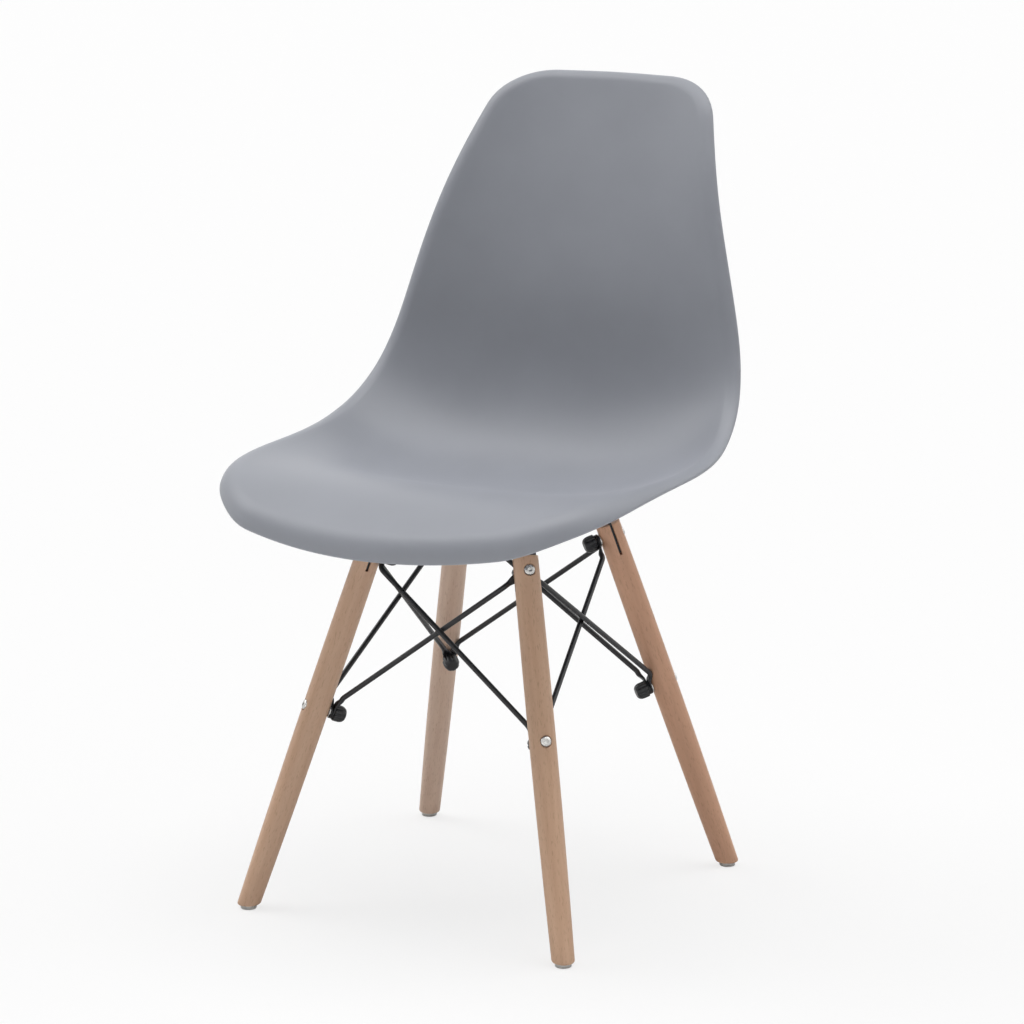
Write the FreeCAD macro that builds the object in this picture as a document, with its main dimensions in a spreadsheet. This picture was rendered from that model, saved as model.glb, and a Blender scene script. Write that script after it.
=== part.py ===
import FreeCAD, Part
import math
import os
import Sketcher
from FreeCAD import Placement, Rotation, Vector

# A side chair: one moulded plastic shell on a bolted base of four turned legs.
# Millimetres, +Z up, the chair faces -Y, and +X is the sitter's left. The
# origin lies on the floor under the middle of the whole chair.

doc = FreeCAD.newDocument("shell_chair")

# Driving dimensions

SIZES = [
    # Shell, centre line seen from the side: from the front lip to the head
    ("lip_y", -252, "front lip, where its edge begins to roll down"),
    ("lip_z", 428.5, "height there"),
    ("knee_y", -194.5, "crest of the seat under the knees"),
    ("knee_z", 449.5, "height there"),
    ("pan_y", -59.5, "front of the seat pan"),
    ("pan_z", 433.5, "height there"),
    ("tail_y", 72.5, "rear of the seat pan"),
    ("tail_z", 429.5, "height there"),
    ("waist_y", 155, "bend from the seat to the back"),
    ("waist_z", 489, "height there"),
    ("back_y", 204.5, "middle of the back"),
    ("back_z", 632, "height there"),
    ("head_y", 252, "head, where the top edge begins to roll back"),
    ("head_z", 809, "height there"),
    # Shell, half widths and dish depths at seven stations along that line
    ("half_lip", 175.5, "half width at the front lip"),
    ("half_knee", 202, "half width under the knees"),
    ("half_pan", 213, "half width at the pan"),
    ("half_hip", 205.5, "half width at the hips"),
    ("half_waist", 184.5, "half width at the waist"),
    ("half_back", 146, "half width at the shoulder blades"),
    ("half_head", 107, "half width at the head"),
    ("dish_lip", 3.5, "how far the sides stand above the middle at the lip"),
    ("dish_knee", 8.5, "the same under the knees"),
    ("dish_pan", 36, "the same at the pan"),
    ("dish_hip", 42.5, "the same at the hips"),
    ("dish_waist", 39.5, "the same at the waist"),
    ("dish_back", 40, "the same at the shoulder blades"),
    ("dish_head", 16.5, "the same at the head"),
    # Shell, corners, rolled edge and wall
    ("head_corner_wide", 41, "head corner, across"),
    ("head_corner_long", 36.5, "head corner, along"),
    ("lip_corner_wide", 47, "front corner, across"),
    ("lip_corner_long", 122.5, "front corner, along"),
    ("head_crown", 6.5, "how far the head's middle stands above its corners"),
    ("lip_crown", 36, "how far the lip's middle stands before its corners"),
    ("roll_radius", 14, "radius of the rolled edge at the sides and head"),
    ("roll_turn", 65, "degrees that this edge turns through"),
    ("lip_roll_radius", 24.5, "radius of the rolled edge at the lip"),
    ("lip_roll_turn", 75.7, "degrees that it turns through there"),
    ("shell_wall", 4.5, "wall of the shell"),
    # Base
    ("base_y", -3.4, "middle of the base"),
    ("foot_spread", 366, "between neighbouring legs at the floor"),
    ("leg_tilt", 19.8, "lean of each leg from upright, in degrees"),
    ("leg_top", 402.5, "top of the leg, measured along it from the floor"),
    ("leg_foot_dia", 22.5, "leg diameter at the foot"),
    ("leg_top_dia", 25.4, "leg diameter at the top"),
    ("leg_swell", 1.4, "how far the leg swells beyond a straight taper"),
    ("leg_edge", 1, "broken edge at the leg's top"),
    ("foot_round", 2.5, "rounded edge of the foot"),
    ("slot_depth", 34, "depth of the saw slot in the leg's top"),
    ("slot_play", 0.15, "play each side of the tab in its slot"),
    ("top_bolt_drop", 14.5, "upper bolt below the leg's top"),
    ("bolt_pitch", 169, "between the two bolts of a leg"),
    # Glides
    ("glide_dia", 16.5, "glide diameter"),
    ("glide_height", 4.5, "glide height"),
    ("glide_pin_dia", 4, "glide pin"),
    ("glide_pin_long", 14, "glide pin length"),
    ("glide_edge", 1, "broken edges of the glide"),
    # Bolts, washers and cap nuts of the legs
    ("bolt_dia", 6, "leg bolt"),
    ("bolt_long", 38, "leg bolt length under the head"),
    ("bolt_play", 0.3, "play all round a bolt in its hole"),
    ("head_dia", 11, "button head diameter"),
    ("head_height", 3.3, "button head height"),
    ("recess_dia", 12.4, "recess for the head in the leg"),
    ("recess_depth", 2.6, "depth of that recess"),
    ("key_flats", 4, "hexagon socket across its flats"),
    ("key_depth", 2, "hexagon socket depth"),
    ("thread_play", 0.1, "play all round a thread"),
    ("washer_dia", 12, "leg washer diameter"),
    ("washer_thick", 1.2, "leg washer thickness"),
    ("nut_dia", 17, "cap nut diameter over its lobes"),
    ("nut_long", 12.5, "cap nut length"),
    ("nut_bore_long", 10, "depth of the cap nut's thread"),
    ("nut_lobes", 8, "lobes round a cap nut"),
    ("nut_groove_dia", 4.4, "diameter of the groove between two lobes"),
    # Braces
    ("brace_dia", 5.4, "brace wire"),
    ("eye_dia", 14, "width of a brace's flattened end"),
    ("eye_thick", 2.2, "thickness of that end"),
    ("eye_flat", 9, "flat length from the bolt"),
    ("eye_taper", 9, "length from flat to round"),
    ("brace_bend", 10, "bend radius beside the flattened end"),
    ("brace_gap", 0.4, "gap between two braces where they cross"),
    # Upper frame
    ("strip_wide", 22, "width of the frame's flat steel"),
    ("strip_thick", 2.5, "thickness of the frame's flat steel"),
    ("strip_level", 396, "underside of the flat steel"),
    ("strip_bend", 3, "inner radius of its bends"),
    ("tab_play", 2, "space below the tab in its slot"),
    ("joggle_start", 18, "half length of the lowered middle of the lower bridge"),
    ("joggle_end", 26, "where that bridge is back at its level"),
    # Seat mounts
    ("mount_radius", 92, "seat screws from the middle of the base"),
    ("mount_dia", 26, "rubber mount diameter"),
    ("mount_height", 10, "rubber mount height"),
    ("boss_dia", 24, "boss under the shell"),
    ("insert_dia", 9, "threaded insert diameter"),
    ("insert_long", 12, "threaded insert length"),
    ("screw_dia", 6, "seat screw"),
    ("screw_long", 22, "seat screw length under the head"),
    ("screw_head_dia", 11, "seat screw head diameter"),
    ("screw_head_height", 3.5, "seat screw head height"),
    ("seat_washer_dia", 16, "washer under the seat screw"),
    ("seat_washer_thick", 1.4, "its thickness"),
]

# Where the half widths and dish depths are given, as shares of the centre line
STATIONS = (0, 0.15, 0.32, 0.48, 0.65, 0.83, 1)
STATION_NAMES = ("lip", "knee", "pan", "hip", "waist", "back", "head")
PROFILE_NAMES = ("lip", "knee", "pan", "tail", "waist", "back", "head")

sheet = doc.addObject("Spreadsheet::Sheet", "sizes")
for row, (alias, value, note) in enumerate(SIZES, start=1):
    sheet.set("A%d" % row, note)
    sheet.set("B%d" % row, str(value))
    sheet.setAlias("B%d" % row, alias)
doc.recompute()


class Span:
    """A size with the sheet expression that gives it, so both stay together."""

    def __init__(self, value, text):
        self.value = float(value)
        self.text = text

    def __float__(self):
        return self.value

    def __add__(self, other):
        other = as_span(other)
        return Span(self.value + other.value, "(%s + %s)" % (self.text, other.text))

    def __sub__(self, other):
        other = as_span(other)
        return Span(self.value - other.value, "(%s - %s)" % (self.text, other.text))

    def __mul__(self, other):
        other = as_span(other)
        return Span(self.value * other.value, "(%s * %s)" % (self.text, other.text))

    def __truediv__(self, other):
        other = as_span(other)
        return Span(self.value / other.value, "(%s / %s)" % (self.text, other.text))

    def __neg__(self):
        return as_span(0) - self


def as_span(number):
    if isinstance(number, Span):
        return number
    return Span(number, "%.9g" % number)


def size(alias):
    return Span(sheet.get(alias), "sizes." + alias)


def sine(angle):
    return Span(math.sin(math.radians(angle.value)), "sin(%s * 1 deg)" % angle.text)


def cosine(angle):
    return Span(math.cos(math.radians(angle.value)), "cos(%s * 1 deg)" % angle.text)


# Sketches and features

def origin_plane(body, role):
    return next(item for item in body.Origin.OriginFeatures if item.Role == role)


def new_sketch(body, role, name, offset=None):
    sketch = body.newObject("Sketcher::SketchObject", name)
    sketch.AttachmentSupport = [(origin_plane(body, role), "")]
    sketch.MapMode = "FlatFace"
    if offset is not None:
        sketch.AttachmentOffset = offset
    return sketch


def place_point(sketch, geometry, point, across, up):
    """Ties one sketch point to the sheet, measured from the sketch's origin."""
    for kind, axis, span in (("DistanceX", -2, across), ("DistanceY", -1, up)):
        span = as_span(span)
        if span.text == "0":
            sketch.addConstraint(Sketcher.Constraint("PointOnObject", geometry, point, axis))
            continue
        index = sketch.addConstraint(
            Sketcher.Constraint(kind, -1, 1, geometry, point, span.value))
        sketch.setExpression("Constraints[%d]" % index, span.text)


def draw_outline(sketch, corners):
    """Closed outline; a corner (x, y, mx, my) is reached by an arc through (mx, my)."""
    count = len(corners)
    for index in range(count):
        start = corners[index]
        end = corners[(index + 1) % count]
        first = Vector(float(start[0]), float(start[1]), 0)
        last = Vector(float(end[0]), float(end[1]), 0)
        if len(end) == 4:
            middle = Vector(float(end[2]), float(end[3]), 0)
            arc = Part.Arc(first, middle, last)
            sketch.addGeometry(arc, False)
        else:
            sketch.addGeometry(Part.LineSegment(first, last), False)
    ends = []
    for index in range(count):
        start = Vector(float(corners[index][0]), float(corners[index][1]), 0)
        geometry = sketch.Geometry[index]
        flipped = geometry.StartPoint.distanceToPoint(start) > 1e-6
        ends.append((2, 1) if flipped else (1, 2))
    for index in range(count):
        following = (index + 1) % count
        sketch.addConstraint(Sketcher.Constraint(
            "Coincident", index, ends[index][1], following, ends[following][0]))
        place_point(sketch, index, ends[index][0], corners[index][0], corners[index][1])


def draw_circle(sketch, across, up, diameter):
    centre = Vector(float(across), float(up), 0)
    circle = Part.Circle(centre, Vector(0, 0, 1), float(diameter) / 2)
    index = sketch.addGeometry(circle, False)
    place_point(sketch, index, 3, across, up)
    rule = sketch.addConstraint(Sketcher.Constraint("Diameter", index, float(diameter)))
    sketch.setExpression("Constraints[%d]" % rule, as_span(diameter).text)


def turned(label, corners):
    """A body turned about Z from an outline of radii and heights."""
    body = doc.addObject("PartDesign::Body", label)
    sketch = new_sketch(body, "XZ_Plane", label + "_profile")
    draw_outline(sketch, corners)
    feature = body.newObject("PartDesign::Revolution", label + "_turning")
    feature.Profile = sketch
    feature.ReferenceAxis = (sketch, ["V_Axis"])
    feature.Angle = 360
    sketch.Visibility = False
    return body


def pocket(body, sketch, depth=None, reverse=False, both_ways=False):
    """Cuts a sketch through everything, or to a depth, and checks that it cut."""
    doc.recompute()
    before = body.Shape.Volume
    feature = body.newObject("PartDesign::Pocket", sketch.Name + "_cut")
    feature.Profile = sketch
    if depth is None:
        feature.Type = "ThroughAll"
    else:
        feature.setExpression("Length", depth.text)
    feature.Midplane = both_ways
    feature.Reversed = reverse
    doc.recompute()
    if not body.Shape.Volume < before - 1e-3:
        raise RuntimeError(sketch.Name + " cut nothing")
    return feature


def round_edges(body, radius, wanted, name):
    """Rounds the edges whose middle point satisfies the given test."""
    doc.recompute()
    base = body.Tip
    names = []
    for index, edge in enumerate(base.Shape.Edges, start=1):
        middle = edge.valueAt((edge.FirstParameter + edge.LastParameter) / 2)
        if wanted(edge, middle):
            names.append("Edge%d" % index)
    if not names:
        raise RuntimeError(name + " found no edge")
    feature = body.newObject("PartDesign::Fillet", name)
    feature.Base = (base, names)
    feature.setExpression("Radius", radius.text)
    doc.recompute()
    return feature


# Shell surface

def smooth_law(places, values):
    """Natural cubic through the given values; the law goes straight on outside."""
    count = len(places)
    gaps = [places[i + 1] - places[i] for i in range(count - 1)]
    slopes = [(values[i + 1] - values[i]) / gaps[i] for i in range(count - 1)]
    diagonal = [1.0] * count
    rhs = [0.0] * count
    bends = [0.0] * count
    for i in range(1, count - 1):
        below = gaps[i - 1] if i > 1 else 0.0
        diagonal[i] = 2 * (gaps[i - 1] + gaps[i])
        rhs[i] = 6 * (slopes[i] - slopes[i - 1])
        if i > 1:
            share = below / diagonal[i - 1]
            diagonal[i] -= share * gaps[i - 1]
            rhs[i] -= share * rhs[i - 1]
    for i in range(count - 2, 0, -1):
        bends[i] = (rhs[i] - gaps[i] * bends[i + 1]) / diagonal[i]

    def law(place):
        inside = min(max(place, places[0]), places[-1])
        i = 0
        while i < count - 2 and inside > places[i + 1]:
            i += 1
        step = gaps[i]
        right = (inside - places[i]) / step
        left = 1 - right
        value = left * values[i] + right * values[i + 1]
        value += (left ** 3 - left) * bends[i] * step ** 2 / 6
        value += (right ** 3 - right) * bends[i + 1] * step ** 2 / 6
        slope = slopes[i]
        slope -= (3 * left ** 2 - 1) * bends[i] * step / 6
        slope += (3 * right ** 2 - 1) * bends[i + 1] * step / 6
        return value + slope * (place - inside), slope

    return law


def ease(share):
    share = min(max(share, 0.0), 1.0)
    return share * share * (3 - 2 * share)


class ShellForm:
    """The sitter's side of the shell as a function of place across and along."""

    SIDE_POWER = 2.9        # how late the sides rise out of the dish
    CORNER_POWER = 2.3      # fullness of the rounded corners
    CROWN_SHARE = 0.25      # share of the length over which an end's crown fades
    STEP = 0.25             # step for slopes, in millimetres

    def __init__(self):
        points = [(size(name + "_y").value, size(name + "_z").value)
                  for name in PROFILE_NAMES]
        places = [0.0]
        for before, after in zip(points, points[1:]):
            places.append(places[-1] + math.dist(before, after))
        self.length = places[-1]
        stations = [share * self.length for share in STATIONS]
        self.line_y = smooth_law(places, [point[0] for point in points])
        self.line_z = smooth_law(places, [point[1] for point in points])
        self.half = smooth_law(stations, [size("half_" + name).value
                                          for name in STATION_NAMES])
        self.dish = smooth_law(stations, [size("dish_" + name).value
                                          for name in STATION_NAMES])

    def point(self, across, along):
        share = abs(across) / self.half(along)[0]
        fade = self.CROWN_SHARE * self.length
        near_head = max(0.0, 1 - (self.length - along) / fade) ** 2
        near_lip = max(0.0, 1 - along / fade) ** 2
        near_head = min(near_head, 1.0)
        near_lip = min(near_lip, 1.0)
        place = along - near_head * size("head_crown").value * share ** 2
        place += near_lip * size("lip_crown").value * share ** 2
        y, slope_y = self.line_y(place)
        z, slope_z = self.line_z(place)
        run = math.hypot(slope_y, slope_z)
        lift = self.dish(place)[0] * share ** self.SIDE_POWER
        return Vector(across, y - lift * slope_z / run, z + lift * slope_y / run)

    def normal(self, across, along):
        """Unit normal on the sitter's side: up from the seat, forward from the back."""
        step = self.STEP
        side = self.point(across + step, along) - self.point(across - step, along)
        front = self.point(across, along + step) - self.point(across, along - step)
        return side.cross(front).normalize()

    def outline(self, on_edge, on_corner, on_side):
        """Half outline, from the head's middle round to the lip's middle."""
        wide = size("head_corner_wide").value
        long = size("head_corner_long").value
        lip_wide = size("lip_corner_wide").value
        lip_long = size("lip_corner_long").value
        power = 2 / self.CORNER_POWER
        steps = []
        head_flat = self.half(self.length)[0] - wide
        for i in range(on_edge):
            steps.append((head_flat * i / on_edge, self.length))
        for i in range(on_corner):
            angle = math.pi / 2 * i / on_corner
            along = self.length - long + long * math.cos(angle) ** power
            steps.append((self.half(along)[0] - wide + wide * math.sin(angle) ** power,
                          along))
        for i in range(on_side):
            along = self.length - long - (self.length - long - lip_long) * i / on_side
            steps.append((self.half(along)[0], along))
        for i in range(on_corner):
            angle = math.pi / 2 * (1 - i / on_corner)
            along = lip_long - lip_long * math.cos(angle) ** power
            steps.append((self.half(along)[0] - lip_wide
                          + lip_wide * math.sin(angle) ** power, along))
        lip_flat = self.half(0)[0] - lip_wide
        for i in range(on_edge + 1):
            steps.append((lip_flat * (1 - i / on_edge), 0.0))
        return steps


def edge_section(form, here, before, after):
    """One section of the rolled edge: sitter's side, round the nose, underside."""
    across, along = here
    start = form.point(across, along)
    normal = form.normal(across, along)
    run = form.point(*after) - form.point(*before)
    outward = normal.cross(run).normalize()
    blend = ease((0.3 - along / form.length) / 0.25)
    radius = size("roll_radius").value
    radius += (size("lip_roll_radius").value - radius) * blend
    turn = size("roll_turn").value
    turn += (size("lip_roll_turn").value - turn) * blend
    turn = math.radians(turn)
    wall = size("shell_wall").value
    centre = start - normal * radius
    section = []
    on_roll = 6
    for i in range(on_roll):
        angle = turn * i / on_roll
        section.append(centre + (normal * math.cos(angle) + outward * math.sin(angle))
                       * radius)
    away = normal * math.cos(turn) + outward * math.sin(turn)
    ahead = outward * math.cos(turn) - normal * math.sin(turn)
    nose = centre + away * (radius - wall / 2)
    on_nose = 4
    for i in range(on_nose + 1):
        angle = math.pi * i / on_nose
        section.append(nose + (away * math.cos(angle) + ahead * math.sin(angle))
                       * (wall / 2))
    for i in range(on_roll):
        angle = turn * (1 - (i + 1) / on_roll)
        section.append(centre + (normal * math.cos(angle) + outward * math.sin(angle))
                       * (radius - wall))
    return section


def chord_lengths(points):
    lengths = [0.0]
    for before, after in zip(points, points[1:]):
        lengths.append(lengths[-1] + before.distanceToPoint(after))
    return lengths


def edge_surface(form):
    """The rolled edge of one half of the shell, as one surface."""
    steps = form.outline(on_edge=8, on_corner=9, on_side=26)
    mirrored_start = (-steps[1][0], steps[1][1])
    mirrored_end = (-steps[-2][0], steps[-2][1])
    padded = [mirrored_start] + steps + [mirrored_end]
    sections = [edge_section(form, padded[i], padded[i - 1], padded[i + 1])
                for i in range(1, len(padded) - 1)]
    round_places = chord_lengths([form.point(*step) for step in steps])
    section_places = chord_lengths(sections[len(sections) // 2])
    rows = []
    for j in range(len(section_places)):
        points = [section[j] for section in sections]
        first = (points[1].x - points[0].x) / (round_places[1] - round_places[0])
        last = (points[-1].x - points[-2].x) / (round_places[-1] - round_places[-2])
        curve = Part.BSplineCurve()
        curve.interpolate(Points=points, Parameters=round_places,
                          InitialTangent=Vector(first, 0, 0),
                          FinalTangent=Vector(last, 0, 0))
        rows.append(curve)
    poles = []
    for i in range(rows[0].NbPoles):
        column = Part.BSplineCurve()
        column.interpolate(Points=[row.getPole(i + 1) for row in rows],
                           Parameters=section_places)
        poles.append(column.getPoles())
    surface = Part.BSplineSurface()
    surface.buildFromPolesMultsKnots(
        poles, rows[0].getMultiplicities(), column.getMultiplicities(),
        rows[0].getKnots(), column.getKnots(), False, False, 3, 3)
    return surface


def dish_surface(form, depth):
    """The shell's face inside the rolled edge, set back by the given depth."""
    margin = 1.03
    on_half_width = 14
    on_length = 60
    over = 0.012 * form.length
    grid = []
    for i in range(-on_half_width, on_half_width + 1):
        column = []
        for k in range(on_length + 1):
            along = -over + (form.length + 2 * over) * k / on_length
            across = margin * form.half(along)[0] * i / on_half_width
            column.append(form.point(across, along) - form.normal(across, along) * depth)
        grid.append(column)
    surface = Part.BSplineSurface()
    surface.interpolate(grid)
    return surface


def make_shell_skin(form):
    edge = edge_surface(form)
    half_edge = edge.toShape()
    first_v, last_v = edge.bounds()[2:]
    faces = [half_edge, half_edge.mirror(Vector(0, 0, 0), Vector(1, 0, 0))]
    for place, depth in ((first_v, 0.0), (last_v, size("shell_wall").value)):
        rim = edge.vIso(place).toShape()
        other = rim.mirror(Vector(0, 0, 0), Vector(1, 0, 0))
        loop = Part.Wire(Part.__sortEdges__([rim, other]))
        face = Part.Face(dish_surface(form, depth), loop)
        face.validate()
        faces.append(face)
    skin = Part.Compound(faces)
    skin.sewShape(0.02)
    return skin


# Places on the base

CORNERS = {"front_right": 225, "front_left": 315, "rear_left": 45, "rear_right": 135}
SIDES = ("front", "left", "rear", "right")


def corner_place(azimuth):
    """Base frame turned so that its X axis points at one leg."""
    centre = Vector(0, size("base_y").value, 0)
    return Placement(centre, Rotation(Vector(0, 0, 1), azimuth))


def leg_place(azimuth):
    """Leg frame: Z along the leg, X outwards, origin where its axis meets the floor."""
    reach = size("foot_spread").value / math.sqrt(2)
    lean = Placement(Vector(reach, 0, 0),
                     Rotation(Vector(0, 1, 0), -size("leg_tilt").value))
    return corner_place(azimuth).multiply(lean)


LEG_TOP = size("leg_top")
UPPER_BOLT = LEG_TOP - size("top_bolt_drop")
LOWER_BOLT = UPPER_BOLT - size("bolt_pitch")
BOLT_HOLE = size("bolt_dia") + size("bolt_play") * 2


def leg_radius(along):
    """Radius of the turned leg at a distance from the floor, as its profile has it."""
    foot = size("leg_foot_dia") / 2
    top = size("leg_top_dia") / 2
    share = along / LEG_TOP
    bulge = share * 4 * (as_span(1) - share)
    return foot + (top - foot) * share + size("leg_swell") * bulge


# Sub-parts

def make_leg(corner, azimuth):
    label = "leg_" + corner
    foot = size("leg_foot_dia") / 2
    top = size("leg_top_dia") / 2
    edge = size("leg_edge")
    half = LEG_TOP / 2
    body = turned(label, [
        (0, 0), (foot, 0),
        (top, LEG_TOP - edge, leg_radius(half), half),
        (top - edge, LEG_TOP), (0, LEG_TOP)])

    tilt = size("leg_tilt")
    level = size("glide_height")
    reach = size("leg_top_dia")
    rise = sine(tilt) / cosine(tilt) * reach
    foot_level = level / cosine(tilt)
    wedge = new_sketch(body, "XZ_Plane", label + "_foot")
    draw_outline(wedge, [(-reach, foot_level + rise), (-reach, -reach),
                         (reach, -reach), (reach, foot_level - rise)])
    pocket(body, wedge, both_ways=True)
    floor_end = foot_level.value + rise.value
    round_edges(body, size("foot_round"),
                lambda rim, middle: len(rim.Vertexes) < 3 and middle.z < floor_end
                and rim.Length > foot.value * 3, label + "_foot_round")

    slot_half = size("strip_thick") / 2 + size("slot_play")
    slot = new_sketch(body, "XZ_Plane", label + "_slot")
    draw_outline(slot, [(-slot_half, LEG_TOP - size("slot_depth")),
                        (slot_half, LEG_TOP - size("slot_depth")),
                        (slot_half, LEG_TOP + edge), (-slot_half, LEG_TOP + edge)])
    pocket(body, slot, both_ways=True)

    holes = new_sketch(body, "YZ_Plane", label + "_bolt_holes")
    for bolt in (UPPER_BOLT, LOWER_BOLT):
        draw_circle(holes, 0, bolt, BOLT_HOLE)
    pocket(body, holes, both_ways=True)
    for name, bolt in (("upper", UPPER_BOLT), ("lower", LOWER_BOLT)):
        floor = leg_radius(bolt) - size("recess_depth")
        seat = Placement(Vector(0, 0, floor.value), Rotation())
        recess = new_sketch(body, "YZ_Plane", label + "_recess_" + name, seat)
        recess.setExpression("AttachmentOffset.Base.z", floor.text)
        draw_circle(recess, 0, bolt, size("recess_dia"))
        pocket(body, recess, reverse=True)

    lean = Placement(Vector(0, 0, foot_level.value),
                     Rotation(Vector(0, 1, 0), tilt.value))
    pin_hole = new_sketch(body, "XY_Plane", label + "_pin_hole", lean)
    draw_circle(pin_hole, 0, 0, size("glide_pin_dia") + size("thread_play") * 2)
    pocket(body, pin_hole, depth=size("glide_pin_long") + size("glide_edge"),
           reverse=True)
    body.Placement = leg_place(azimuth)
    return body


def make_glide(corner, azimuth):
    radius = size("glide_dia") / 2
    pin = size("glide_pin_dia") / 2
    edge = size("glide_edge")
    height = size("glide_height")
    tip = height + size("glide_pin_long")
    body = turned("glide_" + corner, [
        (0, 0), (radius - edge, 0), (radius, edge), (radius, height - edge / 2),
        (radius - edge / 2, height), (pin, height), (pin, tip - edge),
        (pin - edge, tip), (0, tip)])
    lean = math.tan(math.radians(size("leg_tilt").value))
    reach = size("foot_spread").value / math.sqrt(2) - height.value * lean
    body.Placement = corner_place(azimuth).multiply(
        Placement(Vector(reach, 0, 0), Rotation()))
    return body


def make_headed_screw(label, shank_dia, shank_long, head_dia, head_height):
    """Button head screw along Z, its head's seat at zero and its shank below."""
    shank = shank_dia / 2
    head = head_dia / 2
    point = shank * 0.2
    rim = head_height * 0.3
    crown = head * 0.6
    body = turned(label, [
        (0, -shank_long), (shank - point, -shank_long), (shank, point - shank_long),
        (shank, 0), (head, 0), (head, rim),
        (crown, head_height, head * 0.88, head_height * 0.76), (0, head_height)])
    across = size("key_flats") / math.sqrt(3)
    floor = head_height - size("key_depth")
    seat = Placement(Vector(0, 0, floor.value), Rotation())
    socket = new_sketch(body, "XY_Plane", label + "_socket", seat)
    socket.setExpression("AttachmentOffset.Base.z", floor.text)
    draw_outline(socket, [(across * math.cos(math.radians(60 * i + 15)),
                           across * math.sin(math.radians(60 * i + 15)))
                          for i in range(6)])
    pocket(body, socket, reverse=True)
    return body


def make_ring(label, bore_dia, outer_dia, height):
    """Flat ring with its lower face at zero."""
    bore = bore_dia / 2
    outer = outer_dia / 2
    return turned(label, [(bore, 0), (outer, 0), (outer, height), (bore, height)])


def make_cap_nut(label):
    """Domed nut with lobes for the fingers, its seat at zero and its dome above."""
    outer = size("nut_dia") / 2
    bore = size("bolt_dia") / 2 + size("thread_play")
    tall = size("nut_long")
    body = turned(label, [
        (bore, 0), (outer * 0.9, 0), (outer, outer * 0.12), (outer, tall * 0.5),
        (outer * 0.52, tall, outer * 0.88, tall * 0.84), (0, tall),
        (0, size("nut_bore_long")), (bore, size("nut_bore_long"))])
    groove = new_sketch(body, "XY_Plane", label + "_groove")
    draw_circle(groove, outer + size("nut_groove_dia") * 0.22, 0,
                size("nut_groove_dia"))
    cut = pocket(body, groove, reverse=True)
    pattern = body.newObject("PartDesign::PolarPattern", label + "_grooves")
    pattern.Originals = [cut]
    pattern.Axis = (groove, ["N_Axis"])
    pattern.Angle = 360
    pattern.Occurrences = int(size("nut_lobes").value)
    body.Tip = pattern
    return body


def make_bridge(label, azimuth, lowered):
    """Flat steel across the base, both ends bent down into two opposite legs."""
    thick = size("strip_thick").value
    middle = size("strip_level").value + thick / 2
    tilt = math.radians(size("leg_tilt").value)
    reach = size("foot_spread").value / math.sqrt(2)
    end = LEG_TOP.value - size("slot_depth").value + size("tab_play").value
    bend = Vector(reach - middle * math.tan(tilt), middle, 0)
    tip = Vector(reach - end * math.sin(tilt), end * math.cos(tilt), 0)
    line = [bend, tip]
    if lowered:
        drop = Vector(0, -thick, 0)
        line.insert(0, Vector(size("joggle_end").value, middle, 0))
        line.insert(0, Vector(size("joggle_start").value, middle, 0) + drop)
    line = [Vector(-point.x, point.y, 0) for point in reversed(line)] + line

    def offset_line(distance):
        points = []
        for i, point in enumerate(line):
            before = (point - line[i - 1]).normalize() if i else None
            after = (line[i + 1] - point).normalize() if i + 1 < len(line) else None
            before = before or after
            after = after or before
            ahead = (before + after).normalize()
            side = Vector(-ahead.y, ahead.x, 0)
            points.append(point + side * (distance / side.dot(
                Vector(-after.y, after.x, 0))))
        return points

    body = doc.addObject("PartDesign::Body", label)
    outline = new_sketch(body, "XZ_Plane", label + "_outline")
    around = offset_line(thick / 2) + offset_line(-thick / 2)[::-1]
    draw_outline(outline, [(point.x, point.y) for point in around])
    pad = body.newObject("PartDesign::Pad", label + "_pad")
    pad.Profile = outline
    pad.setExpression("Length", "sizes.strip_wide")
    pad.Midplane = True
    inner = size("strip_bend")
    half_turn = math.tan((math.pi / 2 - tilt) / 2) * thick / 2

    def at_bend(above):
        height = middle + (thick / 2 if above else -thick / 2)
        across = bend.x + (half_turn if above else -half_turn)
        return lambda rim, spot: (abs(spot.y) < 0.01 and abs(spot.z - height) < 0.01
                                  and abs(abs(spot.x) - across) < 0.01)

    round_edges(body, inner, at_bend(False), label + "_inner_bends")
    round_edges(body, inner + size("strip_thick"), at_bend(True), label + "_outer_bends")

    screw_holes = new_sketch(body, "XY_Plane", label + "_screw_holes")
    hole = size("screw_dia") + size("bolt_play") * 2
    for side in (size("mount_radius"), -size("mount_radius")):
        draw_circle(screw_holes, side, 0, hole)
    pocket(body, screw_holes, both_ways=True)
    for name, turn in (("near", 0), ("far", 180)):
        across = Rotation(Vector(0, 0, 1), turn).multiply(
            Rotation(Vector(0, 1, 0), 90 - math.degrees(tilt)))
        spot = Vector(reach - UPPER_BOLT.value * math.sin(tilt), 0,
                      UPPER_BOLT.value * math.cos(tilt))
        spot = Rotation(Vector(0, 0, 1), turn).multVec(spot)
        tab_hole = new_sketch(body, "XY_Plane", label + "_tab_hole_" + name,
                              Placement(spot, across))
        draw_circle(tab_hole, 0, 0, BOLT_HOLE)
        pocket(body, tab_hole, depth=size("strip_thick") * 4, both_ways=True)
    body.Placement = corner_place(azimuth)
    return body


def spread(label, body, places):
    """Identical pieces as one group of separate solids."""
    doc.recompute()
    shape = body.Shape.copy()
    shape.Placement = Placement()
    group = doc.addObject("Part::Feature", label)
    copies = []
    for place in places:
        copy = shape.copy()
        copy.Placement = place.multiply(body.Placement)
        copies.append(copy)
    group.Shape = Part.Compound(copies)
    return group


def bolt_place(azimuth, along, depth):
    """Place on a bolt's axis, Z outwards, at a distance from the leg's axis."""
    seat = Placement(Vector(depth, 0, along), Rotation(Vector(0, 1, 0), 90))
    return leg_place(azimuth).multiply(seat)


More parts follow.
